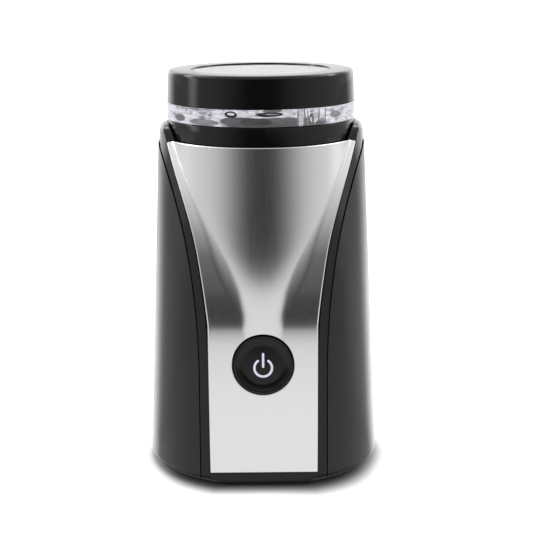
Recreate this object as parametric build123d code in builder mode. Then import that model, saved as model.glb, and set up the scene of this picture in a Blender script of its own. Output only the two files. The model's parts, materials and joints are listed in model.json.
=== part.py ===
from build123d import *
import os
from math import atan2, cos, degrees, radians, sin, sqrt, tan

# Electric spice grinder. Millimetres, +Z up, the front faces -Y.
# The origin is on the table, under the middle of the body.

os.makedirs("parts", exist_ok=True)

# ---------------------------------------------------------------- heights
foot_height = 2.0  # the feet hold the body this far off the table
body_height = 146.0  # body foot to the seat of the collar
collar_height = 8.7
band_height = 7.4  # clear band between collar and cap
cap_height = 13.9
ear_drop = 1.8  # ears end this far under the collar's top

base_z = foot_height
seat_z = base_z + body_height
collar_top_z = seat_z + collar_height
cap_z = collar_top_z + band_height
top_z = cap_z + cap_height
ear_top_z = collar_top_z - ear_drop

# ---------------------------------------------------------------- widths
# The bowl sets the widths: its rim, the lid's tabs, the collar, the column and the side covers
# lie round it one after the other.
bowl_radius = 32.0
bowl_wall = 0.8
bowl_flange = 1.8  # the rim stands this far out of the bowl's wall
tab_gap = 0.7  # between the bowl's rim and a locking tab
tab_thickness = 2.6
slot_clearance = 0.3
collar_edge = 2.9  # collar outside a tab's slot
column_step = 1.5  # the column stands out of the collar
seat_step = 3.1  # the side covers stand out of the column, at the collar's seat
cone_flare = 6.4  # and this much more at the foot

flange_radius = bowl_radius + bowl_wall + bowl_flange
tab_radius = flange_radius + tab_gap + tab_thickness / 2
collar_radius = tab_radius + tab_thickness / 2 + slot_clearance + collar_edge
column_radius = collar_radius + column_step  # round column in the front and rear faces
seat_radius = column_radius + seat_step
base_radius = seat_radius + cone_flare

# ---------------------------------------------------------------- outer form
foot_round = 3.2  # rounding round the foot
ear_round = 3.4  # rounding on top of the ears
face_step = 3.48  # the front face's foot stands out of the column
face_foot_y = column_radius + face_step
face_lean = 2.95  # degrees that the lower face leans back
bend_z = 72.0  # the face arcs backward from here
bend_lean = 5.8  # degrees that the arc starts with
bend_round = 150.0  # softens the bend
mid_set_back = 4.15  # at mid_z, the face lies this far behind the column's front
mid_y = column_radius - mid_set_back
mid_z = 101.0
ear_top_y = 14.6  # the face reaches this depth at the top of the ears
ear_arch = 16.0  # rounding of the ears, seen from the side

cover_wall = 2.2
cover_proud = 0.4  # the covers stand this far out of the bezel
cover_gap = 0.2  # between a cover's back and the housing
seam_gap = 0.25  # between a cover's edge and the bezel
bezel_foot = 4.5  # black strip beside the panel, at the foot
bezel_middle = 4.5  # and at mid_z
bezel_top = 7.3  # and at the top of the ears
seam_bend_z = 50.0  # the strip's outer edge is straight up to here

panel_thickness = 0.4
panel_foot_z = base_z + 4.2  # black border under the panel
face_wall = 2.8  # housing wall behind the panel
side_wall = 2.6  # housing wall behind the covers

# ---------------------------------------------------------------- helpers


def side_radius(z):
    """Radius of the side covers' cone at a height."""
    return base_radius + (seat_radius - base_radius) * (z - base_z) / body_height


def face_depth(z):
    """Depth of the front face at a height on its straight lower part."""
    return face_foot_y - (z - base_z) * tan(radians(face_lean))


def face_edge_x(z, y):
    """How far out the front face's edge lies, where the face is y deep."""
    return sqrt((side_radius(z) - cover_proud) ** 2 - y**2)


def cone(inset, z_low, z_high, low_round=0.0, high_round=0.0):
    """A slice of the side cone, moved in by inset, with its rims rounded."""
    with BuildPart() as slice_of_cone:
        with BuildSketch(Plane.XZ) as half:
            with BuildLine():
                Polyline(
                    (0, z_low),
                    (side_radius(z_low) - inset, z_low),
                    (side_radius(z_high) - inset, z_high),
                    (0, z_high),
                    close=True,
                )
            make_face()
            if low_round:
                fillet(half.vertices().group_by(Axis.Y)[0].sort_by(Axis.X)[-1], low_round)
            if high_round:
                fillet(half.vertices().group_by(Axis.Y)[-1].sort_by(Axis.X)[-1], high_round)
        revolve(axis=Axis.Z)
    return slice_of_cone.part


def face_prism(inset):
    """The block between the front and rear faces, each moved in by inset."""
    reach = 12.0
    foot_z = base_z - reach
    with BuildPart() as prism:
        with BuildSketch(Plane.YZ) as side_view:
            with BuildLine():
                foot = Line((-face_depth(foot_z), foot_z), (-face_depth(bend_z), bend_z))
                bend = (sin(radians(bend_lean)), cos(radians(bend_lean)))
                lower = TangentArc(foot @ 1, (-mid_y, mid_z), tangent=bend)
                upper = TangentArc(lower @ 1, (-ear_top_y, ear_top_z), tangent=lower % 1)
                Line(upper @ 1, (0, ear_top_z))
                Line((0, ear_top_z), (0, foot_z))
                Line((0, foot_z), foot @ 0)
            make_face()
            fillet(side_view.vertices().sort_by_distance((-ear_top_y, ear_top_z))[0], ear_arch)
            fillet(side_view.vertices().sort_by_distance(foot @ 1)[0], bend_round)
            mirror(about=Plane.YZ)
            if inset:
                offset(amount=-inset, kind=Kind.INTERSECTION)
        extrude(amount=base_radius + reach, both=True)
    return prism.part


def body_form(side_inset, face_inset):
    """Outer form of the body: a cone cut back at front and rear, with the column standing in the cuts."""
    slab = face_prism(face_inset)
    rounded = cone(side_inset, base_z, ear_top_z, foot_round, ear_round)
    with BuildPart() as form:
        add(rounded)
        add(slab, mode=Mode.INTERSECT)
        with BuildSketch(Plane.XY.offset(base_z)):
            Circle(column_radius - face_inset)
        extrude(amount=seat_z - base_z)
    return form.part


def cavity(z_low, z_high, cone_top, clearance=0.0):
    """The space inside the body between two heights, or a plate that fits it with a clearance."""
    side_inset = cover_wall + cover_gap + side_wall + clearance
    face_inset = panel_thickness + face_wall + clearance
    slab = face_prism(face_inset)
    wedge = cone(side_inset, z_low, min(z_high, cone_top))
    with BuildPart() as space:
        add(wedge)
        add(slab, mode=Mode.INTERSECT)
        with BuildSketch(Plane.XY.offset(z_low)):
            Circle(column_radius - face_inset)
        extrude(amount=z_high - z_low)
    return space.part


def cover_region(gap, side):
    """Everything outward of a side cover's edge, seen from the front; side is 1 or -1."""
    foot_x = face_edge_x(base_z, face_foot_y) + bezel_foot - gap
    middle_x = face_edge_x(mid_z, mid_y) + bezel_middle - gap
    top_x = face_edge_x(ear_top_z, ear_top_y) + bezel_top - gap
    low = base_z - 1.0
    high = ear_top_z + 1.0
    far = base_radius + 8.0
    with BuildPart() as region:
        with BuildSketch(Plane.XZ):
            with BuildLine():
                straight = Line((foot_x, low), (foot_x, seam_bend_z))
                lower = TangentArc(straight @ 1, (middle_x, mid_z), tangent=straight % 1)
                upper = TangentArc(lower @ 1, (top_x, ear_top_z), tangent=lower % 1)
                Line(upper @ 1, (far, high))
                Line((far, high), (far, low))
                Line((far, low), straight @ 0)
            make_face()
            if side < 0:
                mirror(about=Plane.YZ, mode=Mode.REPLACE)
        extrude(amount=base_radius, both=True)
    return region.part


def ring(z_low, z_high, inner, outer):
    """A plain ring round the upright axis."""
    with BuildPart() as made:
        with BuildSketch(Plane.XY.offset(z_low)):
            Circle(outer)
            Circle(inner, mode=Mode.SUBTRACT)
        extrude(amount=z_high - z_low)
    return made.part


def finish(builder, name):
    """Label a finished piece and write it."""
    builder.part.label = name
    export_step(builder.part, f"parts/{name}.step")


# ---------------------------------------------------------------- inner heights
floor_clearance = 0.25
floor_thickness = 3.0
floor_z = base_z + 0.4  # underside of the bottom cover
floor_top_z = floor_z + floor_thickness

# ---------------------------------------------------------------- bowl
bowl_corner = 6.0
bowl_depth = 43.4  # from the rim to the underside
gasket_thickness = 0.7
gasket_clearance = 0.2
bowl_stud_height = 2.0
bowl_stud_radius = 3.5
bowl_stud_offset = 17.0  # of a stud from the axis
bowl_stud_count = 3
bowl_eye_radius = 6.0  # hole in the bowl's floor
seal_flange_width = 2.0
shelf_thickness = 4.0  # the shelf carries the bowl above and the motor below
screw_radius = 1.5
screw_head_radius = 3.0
screw_head_height = 2.0
bowl_rim_z = collar_top_z + gasket_thickness
bowl_bottom_z = bowl_rim_z - bowl_depth
shelf_top_z = bowl_bottom_z - bowl_stud_height
shelf_z = shelf_top_z - shelf_thickness

with BuildPart() as grinding_bowl:
    with BuildSketch(Plane.XZ) as bowl_half:
        with BuildLine():
            Polyline(
                (bowl_eye_radius, bowl_bottom_z),
                (bowl_radius + bowl_wall, bowl_bottom_z),
                (bowl_radius + bowl_wall, bowl_rim_z),
                (flange_radius, bowl_rim_z),
                (flange_radius, bowl_rim_z + bowl_wall),
                (bowl_radius, bowl_rim_z + bowl_wall),
                (bowl_radius, bowl_bottom_z + bowl_wall),
                (bowl_eye_radius, bowl_bottom_z + bowl_wall),
                close=True,
            )
        make_face()
        corners = bowl_half.vertices()
        outer_corner = corners.sort_by_distance((bowl_radius + bowl_wall, bowl_bottom_z))[0]
        inner_corner = corners.sort_by_distance((bowl_radius, bowl_bottom_z + bowl_wall))[0]
        fillet(outer_corner, bowl_corner + bowl_wall)
        fillet(inner_corner, bowl_corner)
        chamfer(corners.sort_by_distance((bowl_radius, bowl_rim_z + bowl_wall))[0], bowl_wall / 3)
    revolve(axis=Axis.Z)
finish(grinding_bowl, "grinding_bowl")

with BuildPart() as bowl_studs:
    with BuildSketch(Plane.XY.offset(shelf_top_z)):
        with PolarLocations(bowl_stud_offset, bowl_stud_count):
            Circle(bowl_stud_radius)
            Circle(screw_radius, mode=Mode.SUBTRACT)
    extrude(amount=bowl_stud_height)
finish(bowl_studs, "bowl_studs")

with BuildPart() as bowl_gasket:
    add(ring(collar_top_z, bowl_rim_z, bowl_radius + bowl_wall + gasket_clearance, flange_radius))
finish(bowl_gasket, "bowl_gasket")

with BuildPart() as bowl_screws:
    with BuildSketch(Plane.XY.offset(shelf_z - screw_head_height)):
        with PolarLocations(bowl_stud_offset, bowl_stud_count):
            Circle(screw_head_radius)
    extrude(amount=screw_head_height)
    with BuildSketch(Plane.XY.offset(shelf_z)):
        with PolarLocations(bowl_stud_offset, bowl_stud_count):
            Circle(screw_radius)
    extrude(amount=shelf_thickness + bowl_stud_height)
finish(bowl_screws, "bowl_screws")

# ---------------------------------------------------------------- collar and lid
bore_clearance = 0.4  # between the bowl's wall and the collar
collar_bore = bowl_radius + bowl_wall + bore_clearance
collar_spigot_depth = 5.0
spigot_clearance = 0.1
collar_round = 0.6
ear_gap = 0.75  # between the collar and the ears
spigot_radius = column_radius - panel_thickness - face_wall - spigot_clearance

tab_azimuth = 35.0  # the locking tab is this far round from the front
tab_width = 11.0
tab_depth = 5.2  # how far the tab reaches into the collar
slot_depth = 7.7
rib_width = 2.0  # upright ribs beside the tab, in the clear band
rib_reach = 4.4
tab_plane = Plane.XY.rotated((0, 0, tab_azimuth - 90))
rod_radius = 1.5
rod_clearance = 0.05

with BuildPart() as collar:
    with BuildSketch(Plane.XY.offset(seat_z)):
        Circle(collar_radius)
    extrude(amount=collar_height)
    fillet(collar.edges().group_by(Axis.Z)[-1], collar_round)
    with BuildSketch(Plane.XY.offset(seat_z - collar_spigot_depth)):
        Circle(spigot_radius)
    extrude(amount=collar_spigot_depth)
    with BuildSketch(Plane.XY.offset(seat_z - collar_spigot_depth)):
        Circle(collar_bore)
    extrude(amount=collar_height + collar_spigot_depth, mode=Mode.SUBTRACT)
    with BuildSketch(tab_plane.offset(collar_top_z - slot_depth)):
        with Locations((tab_radius, 0), (-tab_radius, 0)):
            Rectangle(tab_thickness + 2 * slot_clearance, tab_width + 2 * slot_clearance)
    extrude(amount=slot_depth, mode=Mode.SUBTRACT)
    with BuildSketch(tab_plane.offset(seat_z - collar_spigot_depth)):
        with Locations((tab_radius, 0)):
            Circle(rod_radius + rod_clearance)
    extrude(amount=slot_depth, mode=Mode.SUBTRACT)
finish(collar, "collar")

band_step = 0.4  # the clear band stands out of the collar
cap_step = 0.3  # and so does the foot of the cap
cap_taper = 0.6  # the cap is this much narrower at its top
cap_wall = 2.2
cap_round = 1.6
cap_edge = 0.3  # chamfer round the window
cap_land = 10.2  # width of the black ring in the cap's top
cap_land_thickness = 1.6
band_wall = 2.2
cup_gap = 0.2  # between the clear cup and the cap round it
seat_gap = 0.2  # between the band's foot and the collar
window_drop = 0.5  # the clear window lies this far under the cap's top
flare_height = 3.0
band_radius = collar_radius + band_step
cap_foot_radius = collar_radius + cap_step
cap_top_radius = cap_foot_radius - cap_taper
window_radius = cap_top_radius - cap_land
cup_radius = cap_top_radius - cap_wall - cup_gap
cup_foot_z = collar_top_z + seat_gap
window_top_z = top_z - window_drop
shoulder_z = top_z - cap_land_thickness
rib_offset = tab_radius + tab_thickness / 2 + slot_clearance + 0.4
tab_edge = (tab_width - rib_width) / 2

with BuildPart() as lid_window:
    with BuildSketch(Plane.XZ):
        with BuildLine():
            Polyline(
                (0, window_top_z),
                (window_radius - cup_gap, window_top_z),
                (window_radius - cup_gap, shoulder_z),
                (cup_radius, shoulder_z),
                (cup_radius, cap_z),
                (band_radius, cap_z),
                (band_radius, cup_foot_z),
                (band_radius - band_wall, cup_foot_z),
                (band_radius - band_wall, cap_z - flare_height),
                (cup_radius - band_wall, cap_z),
                (cup_radius - band_wall, window_top_z - band_wall),
                (0, window_top_z - band_wall),
                close=True,
            )
        make_face()
    revolve(axis=Axis.Z)
    with BuildSketch(tab_plane.offset(collar_top_z - tab_depth)):
        with Locations((tab_radius, 0), (-tab_radius, 0)):
            Rectangle(tab_thickness, tab_width)
    extrude(amount=tab_depth + band_height - flare_height / 2)
    with BuildSketch(tab_plane.offset(cup_foot_z)):
        with Locations((rib_offset, 0), (-rib_offset, 0)):
            with Locations((0, tab_edge), (0, -tab_edge)):
                Rectangle(rib_reach, rib_width)
    extrude(amount=band_height - flare_height / 2)
finish(lid_window, "lid_window")

with BuildPart() as lid_cap:
    with BuildSketch(Plane.XZ) as cap_half:
        with BuildLine():
            Polyline(
                (window_radius, top_z),
                (cap_top_radius, top_z),
                (cap_foot_radius, cap_z),
                (cup_radius + cup_gap, cap_z),
                (cup_radius + cup_gap, shoulder_z),
                (window_radius, shoulder_z),
                close=True,
            )
        make_face()
        fillet(cap_half.vertices().group_by(Axis.Y)[-1].sort_by(Axis.X)[-1], cap_round)
        chamfer(cap_half.vertices().group_by(Axis.Y)[-1].sort_by(Axis.X)[0], cap_edge)
    revolve(axis=Axis.Z)
finish(lid_cap, "lid_cap")

# ---------------------------------------------------------------- button
button_z = 54.6
button_radius = 12.7
button_clearance = 0.3
button_rim = 0.9  # the rim stands this far out of the panel
button_dish = 0.8  # the middle lies this far under the rim
button_floor_radius = 8.0
button_land = 0.9  # from the dish to the button's side
button_edge = 0.6  # rounding of the rim
button_wall = 1.6
button_skirt = 3.6  # depth of the skirt behind the panel face
button_travel = 2.5
sleeve_wall = 1.4
end_gap = 0.1  # left behind the skirt when the button is fully in
sleeve_depth = button_skirt + button_travel + end_gap
sleeve_back = 1.5
sleeve_gap = 0.2  # between the sleeve's front and the panel's back
panel_hole_gap = 0.2
stem_radius = 2.5
plunger_radius = 1.5
switch_width = 14.0
switch_height = 14.0
switch_depth = 6.5
switch_corner = 1.0
switch_drop = 2.0  # the switch's middle lies under the button's
dish_shape = 0.7  # share of its depth that the dish has half way out
button_normal = (0, -cos(radians(face_lean)), sin(radians(face_lean)))
button_plane = Plane(
    origin=(0, -face_depth(button_z), button_z), x_dir=(1, 0, 0), z_dir=button_normal
)
sleeve_radius = button_radius + button_clearance
button_back = button_rim - button_dish - button_wall

with BuildPart() as power_button:
    with BuildSketch(Plane.XZ):
        with BuildLine():
            dish = ThreePointArc(
                (button_floor_radius, button_rim - button_dish),
                (0.5 * (button_floor_radius + button_radius), button_rim - dish_shape * button_dish),
                (button_radius - button_land, button_rim),
            )
            land = Line(dish @ 1, (button_radius - button_edge, button_rim))
            rim = RadiusArc(land @ 1, (button_radius, button_rim - button_edge), button_edge)
            Polyline(
                rim @ 1,
                (button_radius, -button_skirt),
                (button_radius - button_wall, -button_skirt),
                (button_radius - button_wall, button_back),
                (stem_radius, button_back),
                (stem_radius, -button_skirt),
                (0, -button_skirt),
                (0, button_rim - button_dish),
                dish @ 0,
            )
        make_face()
    revolve(axis=Axis.Z)
placed_button = button_plane.location * power_button.part
placed_button.label = "power_button"
export_step(placed_button, "parts/power_button.step")

with BuildPart() as button_bezel:
    with BuildSketch(button_plane.offset(-sleeve_depth - sleeve_back)):
        Circle(sleeve_radius + sleeve_wall)
    extrude(amount=sleeve_depth + sleeve_back - panel_thickness - sleeve_gap)
    with BuildSketch(button_plane.offset(-sleeve_depth)):
        Circle(sleeve_radius)
    extrude(amount=sleeve_depth, mode=Mode.SUBTRACT)
    with BuildSketch(button_plane.offset(-sleeve_depth - sleeve_back)):
        Circle(plunger_radius + button_clearance)
    extrude(amount=sleeve_back, mode=Mode.SUBTRACT)
finish(button_bezel, "button_bezel")

switch_face = -sleeve_depth - sleeve_back
plunger_length = 5.0
plunger_foot = switch_face - plunger_length + button_travel + 2 * end_gap
with BuildPart() as power_switch:
    with BuildSketch(button_plane.offset(switch_face - switch_depth)):
        with Locations((0, -switch_drop)):
            RectangleRounded(switch_width, switch_height, switch_corner)
    extrude(amount=switch_depth)
    with BuildSketch(button_plane.offset(switch_face - plunger_length)):
        Circle(plunger_radius + rod_clearance)
    extrude(amount=plunger_length, mode=Mode.SUBTRACT)
finish(power_switch, "power_switch")

with BuildPart() as switch_plunger:
    with BuildSketch(button_plane.offset(plunger_foot)):
        Circle(plunger_radius)
    extrude(amount=-button_skirt - plunger_foot)
finish(switch_plunger, "switch_plunger")

spring_wire = 0.6


def coil(plane, height, radius, pitch):
    """A compression spring standing on a plane."""
    with BuildPart() as spring:
        with BuildLine():
            turns = Helix(pitch=pitch, height=height - spring_wire, radius=radius)
        with BuildSketch(Plane(origin=turns @ 0, z_dir=turns % 0)):
            Rectangle(spring_wire, spring_wire)
        sweep(is_frenet=True)
    return plane.offset(spring_wire / 2).location * spring.part


button_spring_radius = 4.0
button_spring_pitch = 1.3
button_spring_length = sleeve_depth + button_back
button_spring = coil(
    button_plane.offset(-sleeve_depth), button_spring_length, button_spring_radius, button_spring_pitch
)
button_spring.label = "button_spring"
export_step(button_spring, "parts/button_spring.step")

# ---------------------------------------------------------------- interlock
interlock_travel = 3.0
interlock_width = 12.0
interlock_depth = 4.6
interlock_height = 8.0
rod_tip_radius = 1.0
rod_tip_length = 5.0
rod_flange_radius = 2.4
rod_flange_height = 1.5
rod_stop_gap = 0.2  # left above the flange when the rod is up
tip_room = 1.0  # under the rod's tip, and under its shoulder
rod_spring_pitch = 2.6
rod_spring_clearance = 0.55
interlock_top_z = shelf_top_z + interlock_height
rod_top_z = collar_top_z - tab_depth
rod_shoulder_z = interlock_top_z + tip_room
flange_top_z = seat_z - collar_spigot_depth - interlock_travel - rod_stop_gap

with BuildPart() as interlock_switch:
    with BuildSketch(tab_plane.offset(shelf_top_z)):
        with Locations((tab_radius, 0)):
            Rectangle(interlock_depth, interlock_width)
    extrude(amount=interlock_height)
    with BuildSketch(tab_plane.offset(interlock_top_z - rod_tip_length - tip_room)):
        with Locations((tab_radius, 0)):
            Circle(rod_tip_radius + rod_clearance)
    extrude(amount=rod_tip_length + tip_room, mode=Mode.SUBTRACT)
finish(interlock_switch, "interlock_switch")

with BuildPart() as interlock_rod:
    with BuildSketch(tab_plane.offset(interlock_top_z - rod_tip_length)):
        with Locations((tab_radius, 0)):
            Circle(rod_tip_radius)
    extrude(amount=rod_shoulder_z - interlock_top_z + rod_tip_length)
    with BuildSketch(tab_plane.offset(rod_shoulder_z)):
        with Locations((tab_radius, 0)):
            Circle(rod_radius)
    extrude(amount=rod_top_z - rod_shoulder_z)
    with BuildSketch(tab_plane.offset(flange_top_z - rod_flange_height)):
        with Locations((tab_radius, 0)):
            Circle(rod_flange_radius)
    extrude(amount=rod_flange_height)
finish(interlock_rod, "interlock_rod")

rod_plane = Plane(
    origin=(
        tab_radius * sin(radians(tab_azimuth)),
        -tab_radius * cos(radians(tab_azimuth)),
        interlock_top_z,
    ),
    z_dir=(0, 0, 1),
)
interlock_spring = coil(
    rod_plane,
    flange_top_z - rod_flange_height - interlock_top_z,
    rod_radius + rod_spring_clearance,
    rod_spring_pitch,
)
interlock_spring.label = "interlock_spring"
export_step(interlock_spring, "parts/interlock_spring.step")

# ---------------------------------------------------------------- motor heights
# The upper bracket hangs under the shelf and the fan turns over the bottom cover. The stack fills
# the length that is left between them.
mount_height = 6.0
bracket_thickness = 3.0
upper_leg = 9.0
lower_leg = 32.0
upper_boss_height = 7.0
lower_boss_height = 8.0
commutator_gap = 5.0
commutator_height = 12.0
fan_gap = 2.0
fan_height = 9.0
shaft_end = 2.0  # the shaft ends this far under the fan
fan_floor = 10.0  # the fan turns this far over the body's foot
upper_plate_top_z = shelf_z - mount_height
upper_bracket_z = upper_plate_top_z - bracket_thickness
stack_high_z = upper_bracket_z - upper_leg
fan_z = base_z + fan_floor
lower_bracket_z = fan_z + fan_height + fan_gap + screw_head_height
lower_plate_top_z = lower_bracket_z + bracket_thickness
stack_low_z = lower_plate_top_z + lower_leg
commutator_low_z = lower_bracket_z + lower_boss_height + commutator_gap
brush_z = commutator_low_z + commutator_height / 2
shaft_foot_z = fan_z - shaft_end

# ---------------------------------------------------------------- motor brackets
stator_radius = 29.0
bearing_radius = 6.5
bearing_height = 5.0
bearing_clearance = 0.03
shaft_radius = 2.5
shaft_clearance = 0.8  # round the shaft, where it passes a bracket
bracket_radius = stator_radius + 2.0
boss_radius = 9.0
leg_offset = stator_radius - 2.5  # of a leg from the axis
leg_radius = 3.0
leg_count = 4
leg_turn = 45.0
through_radius = 1.7
mount_offset = stator_radius - 2.5  # of a rubber mount from the axis
mount_radius = 4.0
mount_count = 4
air_slot_offset = 18.0  # of an air slot from the axis
lower_slot_width = 7.0
lower_slot_angle = 22.0  # half of the slot's arc
upper_slot_width = 6.0
upper_slot_angle = 18.0
post_offset = 24.5  # of a brush holder's post from the axis
post_depth = 5.0
post_width = 6.0
lower_bearing_z = lower_bracket_z + lower_boss_height - bearing_height
upper_bearing_z = upper_bracket_z + upper_boss_height - bearing_height
holder_height = 8.0
holder_width = 9.0
holder_low_z = brush_z - holder_height / 2


def air_slots(width, half_angle, turn):
    """Four curved slots round the axis, cut from the current sketch."""
    with PolarLocations(air_slot_offset, leg_count, start_angle=turn):
        arc = CenterArc((-air_slot_offset, 0), air_slot_offset, -half_angle, 2 * half_angle)
        SlotArc(arc, width, mode=Mode.SUBTRACT)


with BuildPart() as lower_motor_bracket:
    with BuildSketch(Plane.XY.offset(lower_bracket_z)):
        Circle(bracket_radius)
        air_slots(lower_slot_width, lower_slot_angle, 0.0)
    extrude(amount=bracket_thickness)
    with BuildSketch(Plane.XY.offset(lower_bracket_z)):
        Circle(boss_radius)
    extrude(amount=lower_boss_height)
    with BuildSketch(Plane.XY.offset(lower_plate_top_z)):
        with PolarLocations(leg_offset, leg_count, start_angle=leg_turn):
            Circle(leg_radius)
    extrude(amount=stack_low_z - lower_plate_top_z)
    with BuildSketch(Plane.XY.offset(lower_plate_top_z)):
        with PolarLocations(post_offset, 2):
            Rectangle(post_depth, post_width)
    extrude(amount=holder_low_z - lower_plate_top_z)
    with BuildSketch(Plane.XY.offset(lower_bearing_z)):
        Circle(bearing_radius)
    extrude(amount=bearing_height, mode=Mode.SUBTRACT)
    with BuildSketch(Plane.XY.offset(lower_bracket_z)):
        Circle(shaft_radius + shaft_clearance)
        with PolarLocations(leg_offset, leg_count, start_angle=leg_turn):
            Circle(through_radius)
    extrude(amount=stack_low_z - lower_bracket_z, mode=Mode.SUBTRACT)
finish(lower_motor_bracket, "lower_motor_bracket")

with BuildPart() as upper_motor_bracket:
    with BuildSketch(Plane.XY.offset(upper_bracket_z)):
        Circle(bracket_radius)
        air_slots(upper_slot_width, upper_slot_angle, leg_turn)
    extrude(amount=bracket_thickness)
    with BuildSketch(Plane.XY.offset(upper_bracket_z)):
        Circle(boss_radius)
    extrude(amount=upper_boss_height)
    with BuildSketch(Plane.XY.offset(stack_high_z)):
        with PolarLocations(leg_offset, leg_count, start_angle=leg_turn):
            Circle(leg_radius)
    extrude(amount=upper_bracket_z - stack_high_z)
    with BuildSketch(Plane.XY.offset(upper_bearing_z)):
        Circle(bearing_radius)
    extrude(amount=bearing_height, mode=Mode.SUBTRACT)
    with BuildSketch(Plane.XY.offset(stack_high_z)):
        Circle(shaft_radius + shaft_clearance)
        with PolarLocations(leg_offset, leg_count, start_angle=leg_turn):
            Circle(screw_radius)
    extrude(amount=upper_plate_top_z - stack_high_z, mode=Mode.SUBTRACT)
    with BuildSketch(Plane.XY.offset(upper_bracket_z)):
        with PolarLocations(mount_offset, mount_count):
            Circle(screw_radius)
    extrude(amount=bracket_thickness, mode=Mode.SUBTRACT)
finish(upper_motor_bracket, "upper_motor_bracket")

for bearing_name, bearing_z in (("lower_bearing", lower_bearing_z), ("upper_bearing", upper_bearing_z)):
    with BuildPart() as bearing:
        add(
            ring(
                bearing_z,
                bearing_z + bearing_height,
                shaft_radius + bearing_clearance,
                bearing_radius,
            )
        )
    finish(bearing, bearing_name)

with BuildPart() as motor_screws:
    with BuildSketch(Plane.XY.offset(lower_bracket_z - screw_head_height)):
        with PolarLocations(leg_offset, leg_count, start_angle=leg_turn):
            Circle(screw_head_radius)
    extrude(amount=screw_head_height)
    with BuildSketch(Plane.XY.offset(lower_bracket_z)):
        with PolarLocations(leg_offset, leg_count, start_angle=leg_turn):
            Circle(screw_radius)
    extrude(amount=upper_plate_top_z - lower_bracket_z)
finish(motor_screws, "motor_screws")

with BuildPart() as motor_mounts:
    with BuildSketch(Plane.XY.offset(upper_plate_top_z)):
        with PolarLocations(mount_offset, mount_count):
            Circle(mount_radius)
            Circle(screw_radius, mode=Mode.SUBTRACT)
    extrude(amount=shelf_z - upper_plate_top_z)
finish(motor_mounts, "motor_mounts")

mount_head_height = 1.6
with BuildPart() as mount_screws:
    with BuildSketch(Plane.XY.offset(shelf_top_z)):
        with PolarLocations(mount_offset, mount_count):
            Circle(screw_head_radius)
    extrude(amount=mount_head_height)
    with BuildSketch(Plane.XY.offset(upper_bracket_z)):
        with PolarLocations(mount_offset, mount_count):
            Circle(screw_radius)
    extrude(amount=shelf_top_z - upper_bracket_z)
finish(mount_screws, "mount_screws")

# ---------------------------------------------------------------- stator
stator_back = 5.0
air_gap = 0.6  # between the rotor and the poles
pole_depth = 6.9
pole_radius = stator_radius - stator_back - pole_depth
armature_radius = pole_radius - air_gap
pole_angle = 50.0
pole_root = 0.5  # the poles run this far into the ring
coil_angle = 62.0
coil_inset = 1.3  # a coil starts this far outside the pole's face
coil_inner = pole_radius + coil_inset
coil_end = 5.5
coil_gap = 0.6
coil_clearance = 0.2  # between a coil and the end of the stack
pole_margin = 0.8  # degrees between a coil's side and its pole


def sector(z_low, z_high, inner, outer, half_angle):
    """Two opposite sectors of a ring, on the X axis."""
    with BuildPart() as made:
        with BuildSketch(Plane.XY.offset(z_low)):
            for middle in (0, 180):
                with BuildLine():
                    outside = CenterArc((0, 0), outer, middle - half_angle, 2 * half_angle)
                    inside = CenterArc((0, 0), inner, middle - half_angle, 2 * half_angle)
                    Line(inside @ 0, outside @ 0)
                    Line(inside @ 1, outside @ 1)
                make_face()
        extrude(amount=z_high - z_low)
    return made.part


with BuildPart() as stator_core:
    add(ring(stack_low_z, stack_high_z, stator_radius - stator_back, stator_radius))
    add(sector(stack_low_z, stack_high_z, pole_radius, stator_radius - stator_back + pole_root, pole_angle))
    with BuildSketch(Plane.XY.offset(stack_low_z)):
        with PolarLocations(leg_offset, leg_count, start_angle=leg_turn):
            Circle(through_radius)
    extrude(amount=stack_high_z - stack_low_z, mode=Mode.SUBTRACT)
finish(stator_core, "stator_core")

with BuildPart() as field_coils:
    add(
        sector(
            stack_low_z - coil_end,
            stack_high_z + coil_end,
            coil_inner,
            stator_radius - stator_back - coil_gap,
            coil_angle,
        )
    )
    add(
        sector(
            stack_low_z - coil_clearance,
            stack_high_z + coil_clearance,
            pole_radius,
            stator_radius - stator_back,
            pole_angle + pole_margin,
        ),
        mode=Mode.SUBTRACT,
    )
finish(field_coils, "field_coils")

# ---------------------------------------------------------------- rotor
slot_count = 10
slot_width = 2.4
slot_deep = 6.0
slot_mouth = 0.4  # the slots are cut this far past the rotor's rim
winding_step = 2.0  # the winding's head lies this far inside the rotor's rim
winding_radius = armature_radius - winding_step
winding_end = 5.5
winding_gap = 0.3  # between a winding's head and the stack
wire_gap = 0.2
bundle_sink = 0.6  # the wires lie this far under the slot's middle
bundle_depth = 4.4
commutator_radius = 9.5
segment_gap = 0.5
segment_depth = 0.8
fan_disc = 1.4
fan_radius = 24.0
fan_blades = 9
fan_blade_thickness = 1.2
fan_blade_turn = 18.0
shaft_chamfer = 0.4
thread_radius = 2.2
blade_thickness = 1.2
blade_eye = 1.5  # the blade's middle is this much wider than the hub
hub_radius = 5.0
hub_height = 3.2
hub_chamfer = 0.4
hub_gap = 0.4  # between the hub and the seal
seal_flange = 1.2
nut_height = 5.0
nut_across = 4.6  # from the nut's middle to a corner
nut_dome_radius = 3.6
nut_dome_height = 1.4
nut_dome_chamfer = 1.0
thread_room = 2.2  # of the nut's top over the thread
hub_low_z = bowl_bottom_z + bowl_wall + seal_flange + hub_gap
blade_low_z = hub_low_z + hub_height
nut_low_z = blade_low_z + blade_thickness
thread_top_z = nut_low_z + nut_height - thread_room

with BuildPart() as motor_shaft:
    with BuildSketch(Plane.XY.offset(shaft_foot_z)):
        Circle(shaft_radius)
    extrude(amount=blade_low_z - shaft_foot_z)
    with BuildSketch(Plane.XY.offset(blade_low_z)):
        Circle(thread_radius)
    extrude(amount=thread_top_z - blade_low_z)
    chamfer(motor_shaft.edges().group_by(Axis.Z)[0], shaft_chamfer)
finish(motor_shaft, "motor_shaft")

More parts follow.
